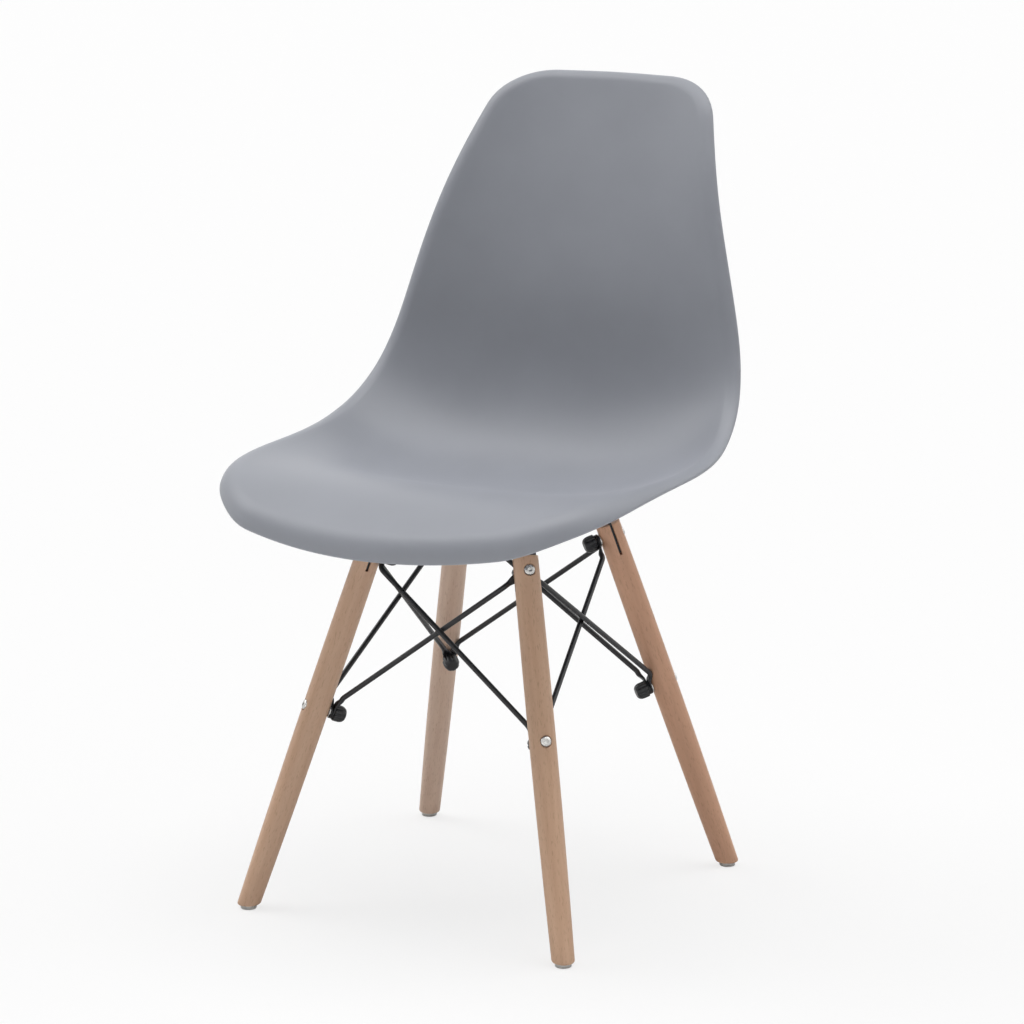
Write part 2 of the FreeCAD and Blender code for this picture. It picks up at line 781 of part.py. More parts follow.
def inward_place(azimuth, along, depth):
    """The same, but with Z towards the middle of the chair."""
    seat = Placement(Vector(-depth, 0, along), Rotation(Vector(0, 1, 0), -90))
    return leg_place(azimuth).multiply(seat)


# Braces

def eye_depth(along, layer):
    """Distance of a brace's flattened end from the leg's axis; layer 0 is at the wood."""
    base = leg_radius(along).value + size("washer_thick").value
    return base + size("eye_thick").value * (layer + 0.5)


class BraceEnd:
    """One end of a brace: flat on its bolt, then tapering to the wire, then bending."""

    def __init__(self, azimuth, along, layer, bow):
        place = inward_place(azimuth, along.value, eye_depth(along, layer))
        self.eye = place.Base
        self.inward = place.Rotation.multVec(Vector(0, 0, 1))
        self.bow = bow

    def aim(self, other):
        """Turns the flat towards the brace's other end and places its bend."""
        run = other.eye - self.eye
        self.toward = (run - self.inward * run.dot(self.inward)).normalize()
        self.side = self.inward.cross(self.toward).normalize()
        flat = size("eye_flat").value + size("eye_taper").value
        self.root = self.eye + self.toward * flat + self.inward * self.bow
        turn = run.getAngle(self.toward)
        spare = 1.2
        bend = size("brace_bend").value * math.tan(turn / 2) * spare
        self.knee = self.root + self.toward * bend


def brace_ends(start, end, layer, bow):
    """The two ends of one brace, from an upper bolt to a lower one."""
    first = BraceEnd(start, UPPER_BOLT, layer, bow)
    last = BraceEnd(end, LOWER_BOLT, layer, bow)
    first.aim(last)
    last.aim(first)
    return first, last


def crossing_gap(azimuths, bow):
    """Distance between the middles of the two braces of one side where they cross."""
    here, following = azimuths
    outer_first, outer_last = brace_ends(here, following, 0, -bow)
    inner_first, inner_last = brace_ends(following, here, 1, bow)
    outer_run = outer_last.knee - outer_first.knee
    inner_run = inner_last.knee - inner_first.knee
    across = outer_run.cross(inner_run).normalize()
    return abs((inner_first.knee - outer_first.knee).dot(across))


def brace_bow(azimuths):
    """How far the wires lie off the middle of their flats so that they cross clear."""
    wanted = size("brace_dia").value + size("brace_gap").value
    start = crossing_gap(azimuths, 0.0)
    gained = crossing_gap(azimuths, 1.0) - start
    return (wanted - start) / gained


def flat_end(end):
    """Flattened and drilled end of a brace, and its taper to the round wire."""
    eye, toward, side, inward = end.eye, end.toward, end.side, end.inward
    thick = size("eye_thick").value
    half_wide = size("eye_dia").value / 2
    narrow = size("brace_dia").value * 0.8
    flat = size("eye_flat").value
    start = eye - inward * (thick / 2)
    disc = Part.makeCylinder(half_wide, thick, start, inward)
    ahead = start + toward * flat
    corners = [start + side * half_wide, ahead + side * narrow,
               ahead - side * narrow, start - side * half_wide]
    tongue = Part.Face(Part.makePolygon(corners + corners[:1])).extrude(inward * thick)
    edge = eye + toward * flat
    flat_section = [edge + side * (a * narrow) + inward * (b * thick / 2)
                    for a, b in ((1, 1), (-1, 1), (-1, -1), (1, -1))]
    flat_wire = Part.makePolygon(flat_section + flat_section[:1])
    radius = size("brace_dia").value / 2

    def on_wire(degrees):
        angle = math.radians(degrees)
        return end.root + (side * math.cos(angle) + inward * math.sin(angle)) * radius

    quarters = [Part.Arc(on_wire(at), on_wire(at + 45), on_wire(at + 90)).toShape()
                for at in (45, 135, 225, 315)]
    neck = Part.makeLoft([flat_wire, Part.Wire(quarters)], True, True)
    hole = Part.makeCylinder(BOLT_HOLE.value / 2, thick * 3,
                             eye - inward * (thick * 1.5), inward)
    return disc.fuse([tongue, neck]).cut(hole)


def wire_path(first, last):
    """Straight runs from one flattened end to the other, with an arc at each knee."""
    points = [first.root, first.knee, last.knee, last.root]
    edges = []
    position = points[0]
    for i in (1, 2):
        before = (points[i] - points[i - 1]).normalize()
        after = (points[i + 1] - points[i]).normalize()
        turn = before.getAngle(after)
        radius = size("brace_bend").value
        tangent = radius * math.tan(turn / 2)
        start = points[i] - before * tangent
        finish = points[i] + after * tangent
        inside = (after - before).normalize()
        middle = points[i] + inside * (radius / math.cos(turn / 2) - radius)
        edges.append(Part.LineSegment(position, start).toShape())
        edges.append(Part.Arc(start, middle, finish).toShape())
        position = finish
    edges.append(Part.LineSegment(position, points[-1]).toShape())
    return Part.Wire(edges)


def make_brace(label, start, end, layer, bow):
    first, last = brace_ends(start, end, layer, bow)
    path = wire_path(first, last)
    radius = size("brace_dia").value / 2
    circle = Part.Wire(Part.makeCircle(radius, first.root, first.toward))
    wire = path.makePipeShell([circle], True, False)
    expected = math.pi * radius ** 2 * path.Length
    if abs(wire.Volume / expected - 1) > 0.01:
        raise RuntimeError(label + " wire has the wrong volume")
    brace = doc.addObject("Part::Feature", label)
    brace.Shape = wire.fuse([flat_end(first), flat_end(last)])
    return brace


# Shell with its bosses

def mount_points():
    radius = size("mount_radius").value
    points = []
    for azimuth in CORNERS.values():
        place = corner_place(azimuth)
        points.append(place.multVec(Vector(radius, 0, 0)))
    return points


def strip_top():
    return size("strip_level") + size("strip_thick")


def boss_foot():
    return (strip_top() + size("mount_height")).value


def make_seat_shell():
    form = ShellForm()
    skin = make_shell_skin(form)
    shape = Part.Solid(skin.Shells[0] if skin.Shells else skin)
    if shape.Volume < 0:
        shape.reverse()
    insert_radius = size("insert_dia").value / 2
    bosses = []
    bores = []
    for point in mount_points():
        base = Vector(point.x, point.y, boss_foot())
        bosses.append(boss_blank(form, base))
        bores.append(Part.makeCylinder(insert_radius, size("insert_long").value, base))
    shape = shape.fuse(bosses).cut(bores)
    shell = doc.addObject("Part::Feature", "seat_shell")
    shell.Shape = shape
    return shell


def place_above(form, point):
    """Distance along the centre line at which the seat lies above a point."""
    low = size("lip_corner_long").value
    high = form.length / 2
    for _ in range(40):
        middle = (low + high) / 2
        if form.point(point.x, middle).y < point.y:
            low = middle
        else:
            high = middle
    return low


def boss_blank(form, base):
    """Boss from its foot up to the middle of the shell's wall."""
    radius = size("boss_dia").value / 2
    along = place_above(form, base)
    depth = size("shell_wall").value / 2
    around = [radius * share for share in (-1.5, -0.75, 0, 0.75, 1.5)]
    grid = [[form.point(base.x + i, along + k) - form.normal(base.x + i, along + k) * depth
             for k in around] for i in around]
    middle = Part.BSplineSurface()
    middle.interpolate(grid)
    above = middle.toShape().extrude(Vector(0, 0, radius * 4))
    tall = form.point(base.x, along).z - base.z + radius
    return Part.makeCylinder(radius, tall, base).cut(above)


def build():
    parts = [make_seat_shell()]
    for corner, azimuth in CORNERS.items():
        parts.append(make_leg(corner, azimuth))
    for corner, azimuth in CORNERS.items():
        parts.append(make_glide(corner, azimuth))
    azimuths = list(CORNERS.values())
    for i, side in enumerate(SIDES):
        here = azimuths[i]
        following = azimuths[(i + 1) % 4]
        bow = brace_bow((here, following))
        parts.append(make_brace("brace_%s_outer" % side, here, following, 0, -bow))
        parts.append(make_brace("brace_%s_inner" % side, following, here, 1, bow))
    parts.append(make_bridge("bridge_upper", CORNERS["front_right"], False))
    parts.append(make_bridge("bridge_lower", CORNERS["front_left"], True))

    bolt = make_headed_screw("leg_bolt", size("bolt_dia"), size("bolt_long"),
                             size("head_dia"), size("head_height"))
    washer = make_ring("leg_washer", BOLT_HOLE, size("washer_dia"), size("washer_thick"))
    nut = make_cap_nut("cap_nut")
    for name, along in (("upper", UPPER_BOLT), ("lower", LOWER_BOLT)):
        wood = leg_radius(along).value
        seat = wood - size("recess_depth").value
        stack = wood + size("washer_thick").value + 2 * size("eye_thick").value
        parts.append(spread("leg_bolts_" + name, bolt, [
            bolt_place(azimuth, along.value, seat) for azimuth in azimuths]))
        parts.append(spread("leg_washers_" + name, washer, [
            inward_place(azimuth, along.value, wood) for azimuth in azimuths]))
        parts.append(spread("cap_nuts_" + name, nut, [
            inward_place(azimuth, along.value, stack) for azimuth in azimuths]))

    screw = make_headed_screw("seat_screw", size("screw_dia"), size("screw_long"),
                              size("screw_head_dia"), size("screw_head_height"))
    screw_hole = size("screw_dia") + size("bolt_play") * 2
    seat_washer = make_ring("seat_washer", screw_hole, size("seat_washer_dia"),
                            size("seat_washer_thick"))
    mount = make_ring("rubber_mount", screw_hole, size("mount_dia"),
                      size("mount_height"))
    insert = make_ring("insert", size("screw_dia") + size("thread_play") * 2,
                       size("insert_dia"), size("insert_long"))
    points = mount_points()
    level = size("strip_level").value
    under_washer = level - size("seat_washer_thick").value
    turned_over = Rotation(Vector(1, 0, 0), 180)
    parts.append(spread("seat_screws", screw, [
        Placement(Vector(p.x, p.y, under_washer), turned_over) for p in points]))
    parts.append(spread("seat_washers", seat_washer, [
        Placement(Vector(p.x, p.y, under_washer), Rotation()) for p in points]))
    parts.append(spread("rubber_mounts", mount, [
        Placement(Vector(p.x, p.y, strip_top().value), Rotation()) for p in points]))
    parts.append(spread("threaded_inserts", insert, [
        Placement(Vector(p.x, p.y, boss_foot()), Rotation()) for p in points]))
    return parts


def check_and_export(parts):
    doc.recompute()
    for item in doc.Objects:
        if "Invalid" in item.State or "Error" in item.State:
            raise RuntimeError(item.Label + " is " + ", ".join(item.State))
    for part in parts:
        shape = part.Shape
        if shape.isNull() or not shape.isValid() or not shape.Solids:
            raise RuntimeError(part.Label + " has no valid solid")
        print("%-22s solids %d volume %9.1f" % (part.Label, len(shape.Solids),
                                                shape.Volume))
    os.makedirs("parts", exist_ok=True)
    for part in parts:
        part.Shape.exportStep("parts/%s.step" % part.Label)


check_and_export(build())
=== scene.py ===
# %% [markdown]
# A moulded shell chair, dressed over its measured frame.
# The frame holds every piece of the chair as a solid of the right size. This
# lesson puts finer pieces over those solids, one at a time: the plastic shell,
# the turned legs, the wire braces, the bolts and nuts. Each piece takes its sizes
# and its place from the same values as its solid. Only the shell goes further: its
# back follows a finer S-shaped line, inside the box of its solid.

# %% Load the frame
import math

import bmesh
import bpy
import numpy
from mathutils import Matrix, Vector


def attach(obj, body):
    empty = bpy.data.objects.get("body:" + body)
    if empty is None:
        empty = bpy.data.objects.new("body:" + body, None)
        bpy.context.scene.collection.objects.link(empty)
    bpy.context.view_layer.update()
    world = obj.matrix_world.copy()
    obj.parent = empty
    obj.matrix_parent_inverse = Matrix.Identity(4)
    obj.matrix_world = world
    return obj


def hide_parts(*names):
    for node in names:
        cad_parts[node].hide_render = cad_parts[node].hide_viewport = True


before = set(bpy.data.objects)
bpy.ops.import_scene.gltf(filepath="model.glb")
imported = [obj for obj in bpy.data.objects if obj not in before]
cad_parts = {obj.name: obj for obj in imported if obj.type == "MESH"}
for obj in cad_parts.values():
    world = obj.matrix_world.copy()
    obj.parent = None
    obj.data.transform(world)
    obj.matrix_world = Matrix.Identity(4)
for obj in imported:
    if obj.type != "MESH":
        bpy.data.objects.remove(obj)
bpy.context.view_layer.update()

# %% [markdown]
# Blender measures in metres and a chair maker in millimetres. All sizes below are
# written in millimetres and turned to metres where a point is made.

# %% Units and selection
MM = 0.001


def spot(x, y, z):
    return Vector((x, y, z)) * MM


def deselect():
    if bpy.context.object is not None and bpy.context.object.mode != "OBJECT":
        bpy.ops.object.mode_set(mode="OBJECT")
    bpy.ops.object.select_all(action="DESELECT")


def pick(piece):
    deselect()
    piece.select_set(True)
    bpy.context.view_layer.objects.active = piece


# %% [markdown]
# The camera stands where the photographer stood: 3.8 m away, 29 degrees round to
# the sitter's left and a little above the seat, with a long lens. A long lens
# keeps the legs nearly parallel, as in a catalogue picture.

# %% Camera
CAMERA_TURN = math.radians(29.13)
CAMERA_RISE = math.radians(12.65)
CAMERA_AWAY = 3.8
AIM = spot(23.47, -3.4, 399.6)
FOCAL_PIXELS = 3764
PICTURE_PIXELS = 1024
SENSOR = 36

toward_camera = Vector((math.sin(CAMERA_TURN) * math.cos(CAMERA_RISE),
                        -math.cos(CAMERA_TURN) * math.cos(CAMERA_RISE),
                        math.sin(CAMERA_RISE)))
bpy.ops.object.camera_add(location=AIM + toward_camera * CAMERA_AWAY)
camera = bpy.context.object
camera.name = "camera"
camera.rotation_euler = (-toward_camera).to_track_quat("-Z", "Y").to_euler()
camera.data.sensor_width = SENSOR
camera.data.lens = FOCAL_PIXELS * SENSOR / PICTURE_PIXELS
camera.data.clip_end = 200
bpy.context.scene.camera = camera
print("lens", round(camera.data.lens, 1), "mm")

# %% [markdown]
# The shell is one sheet of plastic. Its middle line, seen from the side, runs from
# the front lip over the knees, down into the seat, up past the waist to the head.
# Seven stations along that line say how wide the shell is and how far its sides
# rise out of the dish. Then come its corners, how far the lip and the head bow out
# in the middle, and the radius and angle of the rolled edge, all round and at the lip.

# %% Shell sizes
LINE_Y = (-250, -198, -66, 91, 144.5, 174, 250.5)
LINE_Z = (428.5, 449, 435, 430.5, 484.5, 598.5, 809.5)
STATIONS = (0, 0.15, 0.32, 0.48, 0.65, 0.83, 1)
HALF_WIDTH = (171, 202, 212.5, 207, 185.5, 145.5, 107)
DISH = (1.5, 8, 39, 45, 20.5, 22.5, 12)
HEAD_CORNER = (45, 38.5)
LIP_CORNER = (40, 120.5)
HEAD_CROWN = 5.5
LIP_CROWN = 36
ROLL = (14, 65)
LIP_ROLL = (24.5, 75.6)
WALL = 4.5
SIDE_POWER = 2.9
CORNER_POWER = 2 / 2.3

# %% [markdown]
# A flexible ruler laid through a few nails gives the smoothest line between them.
# The same idea in numbers is the natural cubic spline: it passes through every
# value and bends as little as it can in between.

# %% Smooth law through given values


def smooth_law(places, values):
    places = numpy.array(places, float)
    values = numpy.array(values, float)
    gaps = numpy.diff(places)
    slopes = numpy.diff(values) / gaps
    count = len(places)
    rows = numpy.eye(count)
    wanted = numpy.zeros(count)
    for i in range(1, count - 1):
        rows[i, i - 1:i + 2] = gaps[i - 1], 2 * (gaps[i - 1] + gaps[i]), gaps[i]
        wanted[i] = 6 * (slopes[i] - slopes[i - 1])
    bends = numpy.linalg.solve(rows, wanted)

    def law(place):
        inside = min(max(place, places[0]), places[-1])
        i = min(int(numpy.searchsorted(places, inside, "right")) - 1, count - 2)
        step = gaps[i]
        right = (inside - places[i]) / step
        left = 1 - right
        value = left * values[i] + right * values[i + 1]
        value += (left ** 3 - left) * bends[i] * step ** 2 / 6
        value += (right ** 3 - right) * bends[i + 1] * step ** 2 / 6
        slope = slopes[i] - (3 * left ** 2 - 1) * bends[i] * step / 6
        slope += (3 * right ** 2 - 1) * bends[i + 1] * step / 6
        return value + slope * (place - inside), slope

    return law


corners_of_line = list(zip(LINE_Y, LINE_Z))
line_places = [0.0]
for before, after in zip(corners_of_line, corners_of_line[1:]):
    line_places.append(line_places[-1] + math.dist(before, after))
LENGTH = line_places[-1]
line_y = smooth_law(line_places, LINE_Y)
line_z = smooth_law(line_places, LINE_Z)
half_width = smooth_law([share * LENGTH for share in STATIONS], HALF_WIDTH)
dish = smooth_law([share * LENGTH for share in STATIONS], DISH)
print("line of the shell", round(LENGTH, 1), "mm long")

# %% [markdown]
# With those laws one function gives any point of the sitter's side from its place
# across the chair and along the middle line. The side power makes the middle flat
# and lets the sides rise late, which is what makes the shell a bucket.

# %% A point on the sitter's side


def shell_point(across, along):
    share = abs(across) / half_width(along)[0]
    near_head = min(max(0, 1 - (LENGTH - along) / (0.25 * LENGTH)) ** 2, 1)
    near_lip = min(max(0, 1 - along / (0.25 * LENGTH)) ** 2, 1)
    place = along - near_head * HEAD_CROWN * share ** 2
    place += near_lip * LIP_CROWN * share ** 2
    y, slope_y = line_y(place)
    z, slope_z = line_z(place)
    run = math.hypot(slope_y, slope_z)
    lift = dish(place)[0] * share ** SIDE_POWER
    return spot(across, y - lift * slope_z / run, z + lift * slope_y / run)


def shell_normal(across, along):
    side = shell_point(across + 0.5, along) - shell_point(across - 0.5, along)
    front = shell_point(across, along + 0.5) - shell_point(across, along - 0.5)
    return side.cross(front).normalized()


# %% [markdown]
# Seen flat, the sheet is a rectangle with four round corners. Half of its outline
# is drawn here as a fine run of points, from the middle of the lip to the middle of
# the head, with a mark halfway round each corner.

# %% Outline of the sheet


def round_corner(end, inward, sizes, angle):
    wide, long = sizes
    along = end + inward * (long - long * math.cos(angle) ** CORNER_POWER)
    across = half_width(along)[0] - wide + wide * math.sin(angle) ** CORNER_POWER
    return across, along


CORNER_STEPS = 80
SIDE_STEPS = 160
END_STEPS = 20
quarter = [math.pi / 2 * i / CORNER_STEPS for i in range(CORNER_STEPS + 1)]
lip_turn = [round_corner(0, 1, LIP_CORNER, angle) for angle in quarter]
head_turn = [round_corner(LENGTH, -1, HEAD_CORNER, angle) for angle in quarter[::-1]]
side_start, side_end = lip_turn[-1][1], head_turn[0][1]
side_run = [side_start + (side_end - side_start) * i / SIDE_STEPS
            for i in range(1, SIDE_STEPS)]
outline = [(lip_turn[0][0] * i / END_STEPS, 0) for i in range(END_STEPS)]
outline += lip_turn
outline += [(half_width(along)[0], along) for along in side_run]
outline += head_turn
outline += [(head_turn[-1][0] * (1 - i / END_STEPS), LENGTH)
            for i in range(1, END_STEPS + 1)]
travel = numpy.cumsum([0] + [math.dist(a, b) for a, b in zip(outline, outline[1:])])
half_corner = CORNER_STEPS // 2
lip_mark = travel[END_STEPS + half_corner]
head_mark = travel[END_STEPS + CORNER_STEPS + SIDE_STEPS + half_corner]


def on_outline(distance):
    across = numpy.interp(distance, travel, [place[0] for place in outline])
    along = numpy.interp(distance, travel, [place[1] for place in outline])
    return numpy.array((across, along))


print("half outline", round(float(travel[-1]), 1), "mm round")

# %% [markdown]
# A plain grid is stretched to that outline like cloth over a hoop: its four corners
# go to the marks, its edges follow the outline, and the inside is blended from the
# four edges. The sheet then has only four-sided faces, so light runs over it with
# no pinches.

# %% Stretch a grid to the outline
ACROSS = 72
ALONG = 112


def mirrored(place):
    return place * numpy.array((-1, 1))


def edge_place(share, mark, middle):
    distance = middle + (mark - middle) * abs(2 * share - 1)
    place = on_outline(distance)
    return place if share > 0.5 else mirrored(place)


def stretched(u, v):
    lip = edge_place(u, lip_mark, 0)
    head = edge_place(u, head_mark, travel[-1])
    right = on_outline(lip_mark + (head_mark - lip_mark) * v)
    left = mirrored(right)
    low = on_outline(lip_mark)
    high = on_outline(head_mark)
    straight = (1 - v) * ((1 - u) * mirrored(low) + u * low)
    straight += v * ((1 - u) * mirrored(high) + u * high)
    return (1 - v) * lip + v * head + (1 - u) * left + u * right - straight


deselect()
bpy.ops.mesh.primitive_grid_add(x_subdivisions=ACROSS, y_subdivisions=ALONG, size=2)
shell = bpy.context.object
shell.name = "moulded_shell"
flat_places = {}
for vertex in shell.data.vertices:
    u = (vertex.co.x + 1) / 2
    v = (vertex.co.y + 1) / 2
    across, along = stretched(u, v)
    vertex.co = shell_point(float(across), float(along))
    flat_places[vertex.index] = (float(across), float(along))
print("sheet", len(shell.data.vertices), "points")

# %% [markdown]
# The mould rolls the edge outwards all round, tight at the sides and wider at the
# front so that it doesn't press under the knees. A modeller makes such a roll by
# extruding the border a step at a time, so that each new row of points goes to the
# next place of its arc. This helper does the extruding, for the shell and for other
# pieces that grow row by row.

# %% Extrude a border along given rows


def key_of(place):
    return tuple(round(value, 6) for value in place)


def extrude_rows(piece, rows):
    """Extrudes what is selected, row by row; each row lists the same points in order."""
    for before, after in zip(rows, rows[1:]):
        goes_to = {key_of(old): new for old, new in zip(before, after)}
        bpy.ops.mesh.extrude_region_move()
        mesh = bmesh.from_edit_mesh(piece.data)
        for vertex in mesh.verts:
            if vertex.select:
                vertex.co = goes_to[key_of(vertex.co)]
        bmesh.update_edit_mesh(piece.data)


# %% [markdown]
# The arc of the roll lies across the border: it starts along the sheet, leans
# outwards and down, and ends in a short straight. Screwing a profile along the border
# would need a curve in space; a section at every point of the border is simpler.

# %% Roll the edge of the shell
ROLL_STEPS = 8


def ease(share):
    share = min(max(share, 0), 1)
    return share * share * (3 - 2 * share)


def roll_section(place, before, after):
    """Points of the rolled edge, from the sheet outwards, ending in a short straight."""
    across, along = place
    start = shell_point(across, along)
    normal = shell_normal(across, along)
    run = shell_point(*after) - shell_point(*before)
    outward = run.cross(normal).normalized()
    blend = ease((0.3 - along / LENGTH) / 0.25)
    radius = (ROLL[0] + (LIP_ROLL[0] - ROLL[0]) * blend) * MM
    turn = math.radians(ROLL[1] + (LIP_ROLL[1] - ROLL[1]) * blend)
    centre = start - normal * radius
    section = []
    for i in range(ROLL_STEPS + 1):
        angle = turn * i / ROLL_STEPS
        arm = normal * math.cos(angle) + outward * math.sin(angle)
        section.append(centre + arm * radius)
    ahead = outward * math.cos(turn) - normal * math.sin(turn)
    section.append(section[-1] + ahead * (WALL / 2 * MM))
    return section


def border_order(columns, rows):
    """Numbers of the grid's border points, once round it against the clock."""
    wide = columns + 1
    lip = list(range(columns))
    right = [columns + wide * j for j in range(rows)]
    head = [wide * rows + columns - i for i in range(columns)]
    left = [wide * (rows - j) for j in range(rows)]
    return lip + right + head + left


border = [flat_places[i] for i in border_order(ACROSS, ALONG)]
sections = []
for i, place in enumerate(border):
    sections.append(roll_section(place, border[i - 1], border[(i + 1) % len(border)]))
rows_of_roll = list(zip(*sections))

pick(shell)
bpy.ops.object.mode_set(mode="EDIT")
bpy.ops.mesh.select_mode(type="EDGE")
bpy.ops.mesh.select_all(action="DESELECT")
bpy.ops.mesh.select_non_manifold()
extrude_rows(shell, rows_of_roll)
bpy.ops.object.mode_set(mode="OBJECT")
print("rolled edge", len(border), "sections")

# %% [markdown]
# Up to here the shell has no thickness. Solidify gives it the 4.5 mm wall on the
# underside, and a bevel rounds the cut edge fully, as the parting edge of a mould
# leaves it.

# %% Wall and nose of the shell


def apply_modifier(piece, kind, **settings):
    pick(piece)
    modifier = piece.modifiers.new(kind.lower(), kind)
    for name, value in settings.items():
        setattr(modifier, name, value)
    bpy.ops.object.modifier_apply(modifier=modifier.name)


def smooth(piece, degrees=35):
    pick(piece)
    bpy.ops.object.shade_smooth_by_angle(angle=math.radians(degrees))


middle_of_seat = spot(0, 0, 430)
middle_face = min(shell.data.polygons,
                  key=lambda face: (face.center - middle_of_seat).length)
if middle_face.normal.z < 0:
    pick(shell)
    bpy.ops.object.mode_set(mode="EDIT")
    bpy.ops.mesh.select_all(action="SELECT")
    bpy.ops.mesh.flip_normals()
    bpy.ops.object.mode_set(mode="OBJECT")
apply_modifier(shell, "SOLIDIFY", thickness=WALL * MM, offset=-1, use_even_offset=True,
               use_quality_normals=True)
apply_modifier(shell, "BEVEL", width=WALL * 0.46 * MM, segments=4,
               limit_method="ANGLE", angle_limit=math.radians(60))
smooth(shell, 50)
print("shell", len(shell.data.polygons), "faces")

# %% [markdown]
# The round pieces are made as on a lathe: an outline is drawn from one point by
# extruding it, and spun once round the upright axis. A finished piece is turned and
# moved to its place, singly or in several copies.

# %% The lathe


def lathe(name, outline, steps=48):
    """Turns an outline of radii and heights, in millimetres, about the upright axis."""
    deselect()
    bpy.ops.mesh.primitive_plane_add(size=MM)
    piece = bpy.context.object
    piece.name = name
    bpy.ops.object.mode_set(mode="EDIT")
    bpy.ops.mesh.select_mode(type="VERT")
    bpy.ops.mesh.select_all(action="SELECT")
    bpy.ops.mesh.merge(type="CENTER")
    bpy.ops.transform.translate(value=spot(outline[0][0], 0, outline[0][1]))
    for before, after in zip(outline, outline[1:]):
        step = spot(after[0] - before[0], 0, after[1] - before[1])
        bpy.ops.mesh.extrude_vertices_move(TRANSFORM_OT_translate={"value": step})
    bpy.ops.mesh.select_all(action="SELECT")
    bpy.ops.mesh.spin(steps=steps, angle=2 * math.pi, center=(0, 0, 0), axis=(0, 0, 1))
    bpy.ops.mesh.select_all(action="SELECT")
    bpy.ops.mesh.remove_doubles(threshold=0.002 * MM)
    bpy.ops.mesh.normals_make_consistent(inside=False)
    bpy.ops.object.mode_set(mode="OBJECT")
    return piece


def settle(piece):
    """Moves the shape itself to where its object stands, and the object to the origin."""
    pick(piece)
    bpy.ops.object.transform_apply(location=True, rotation=True, scale=True)


def move_to(piece, place):
    piece.matrix_world = place
    settle(piece)


def copy_to(piece, places, name):
    """One piece at several places, joined into one object; the pattern piece is used up."""
    copies = []
    for place in places:
        pick(piece)
        bpy.ops.object.duplicate(linked=False)
        copies.append(bpy.context.object)
        move_to(copies[-1], place)
    deselect()
    for piece_copy in copies:
        piece_copy.select_set(True)
    bpy.context.view_layer.objects.active = copies[0]
    if len(copies) > 1:
        bpy.ops.object.join()
    joined = bpy.context.object
    joined.name = name
    bpy.data.objects.remove(piece, do_unlink=True)
    return joined


# %% [markdown]
# The base is square. Every leg has its own small frame: one axis along the leg, one
# outwards. Bolts, nuts and braces are all placed in these frames.

# %% Frames of the base
BASE_Y = -3.4
FOOT_REACH = 366 / math.sqrt(2)
LEG_TILT = 19.8
LEG_TOP = 402.5
UPPER_BOLT = LEG_TOP - 14.5
LOWER_BOLT = UPPER_BOLT - 169
CORNERS = {"front_right": 225, "front_left": 315, "rear_left": 45, "rear_right": 135}
STRIP_LEVEL = 396
STRIP_THICK = 2.5
STRIP_WIDE = 22
BOLT_HOLE = 6.6
RECESS = 12.4
RECESS_DEPTH = 2.6
WASHER_BORE = 3.3
LEG_WASHER_THICK = 1.2
SEAT_WASHER_THICK = 1.4
EYE_THICK = 2.2


def corner_frame(azimuth):
    turn = Matrix.Rotation(math.radians(azimuth), 4, "Z")
    return Matrix.Translation(spot(0, BASE_Y, 0)) @ turn


def leg_frame(azimuth):
    lean = Matrix.Rotation(math.radians(-LEG_TILT), 4, "Y")
    return corner_frame(azimuth) @ Matrix.Translation(spot(FOOT_REACH, 0, 0)) @ lean


def outward_frame(azimuth, along, depth):
    """On a bolt's axis, pointing out of the chair, so far from the leg's middle."""
    turn = Matrix.Rotation(math.radians(90), 4, "Y")
    return leg_frame(azimuth) @ Matrix.Translation(spot(depth, 0, along)) @ turn


def inward_frame(azimuth, along, depth):
    """On a bolt's axis, pointing into the chair."""
    turn = Matrix.Rotation(math.radians(-90), 4, "Y")
    return leg_frame(azimuth) @ Matrix.Translation(spot(-depth, 0, along)) @ turn


def leg_radius(along):
    share = along / LEG_TOP
    return 11.25 + 1.45 * share + 1.4 * 4 * share * (1 - share)


print("leg radius at the bolts", round(leg_radius(UPPER_BOLT), 2),
      round(leg_radius(LOWER_BOLT), 2))

# %% [markdown]
# Four bosses under the seat hold the threaded inserts. They are part of the same
# moulding: turned on the lathe, standing on the rubber mounts, with their upper rims
# moved up into the middle of the seat's wall, so that no gap shows.

# %% Bosses under the seat
BEND_REACH = FOOT_REACH - (STRIP_LEVEL + STRIP_THICK / 2) * math.tan(math.radians(LEG_TILT))
MOUNT_INSET = 23.8
MOUNT_RADIUS = BEND_REACH - MOUNT_INSET
MOUNT_HEIGHT = 10
BOSS_FOOT = STRIP_LEVEL + STRIP_THICK + MOUNT_HEIGHT
BOSS_TALL = 22


def seat_height(x, y):
    """Height of the middle of the seat's wall above a point of the floor."""
    low, high = LIP_CORNER[1], LENGTH / 2
    for _ in range(30):
        along = (low + high) / 2
        if shell_point(x, along).y < y * MM:
            low = along
        else:
            high = along
    return shell_point(x, low).z / MM - WALL / 2 / shell_normal(x, low).z


def under_seat(height):
    """The four places where the seat is held, at a height."""
    places = []
    for azimuth in CORNERS.values():
        centre = corner_frame(azimuth) @ spot(MOUNT_RADIUS, 0, height)
        places.append(Matrix.Translation(centre))
    return places


boss = lathe("boss", [(4.5, 8), (4.5, 0), (11.2, 0), (12, 0.8), (12, 4), (12, 8),
                      (12, BOSS_TALL), (4.5, BOSS_TALL), (4.5, 8)])
bosses = copy_to(boss, under_seat(BOSS_FOOT), "shell_bosses")
for vertex in bosses.data.vertices:
    if vertex.co.z > (BOSS_FOOT + BOSS_TALL - 1) * MM:
        vertex.co.z = seat_height(vertex.co.x / MM, vertex.co.y / MM) * MM
smooth(bosses)
print("bosses", len(bosses.data.polygons), "faces")

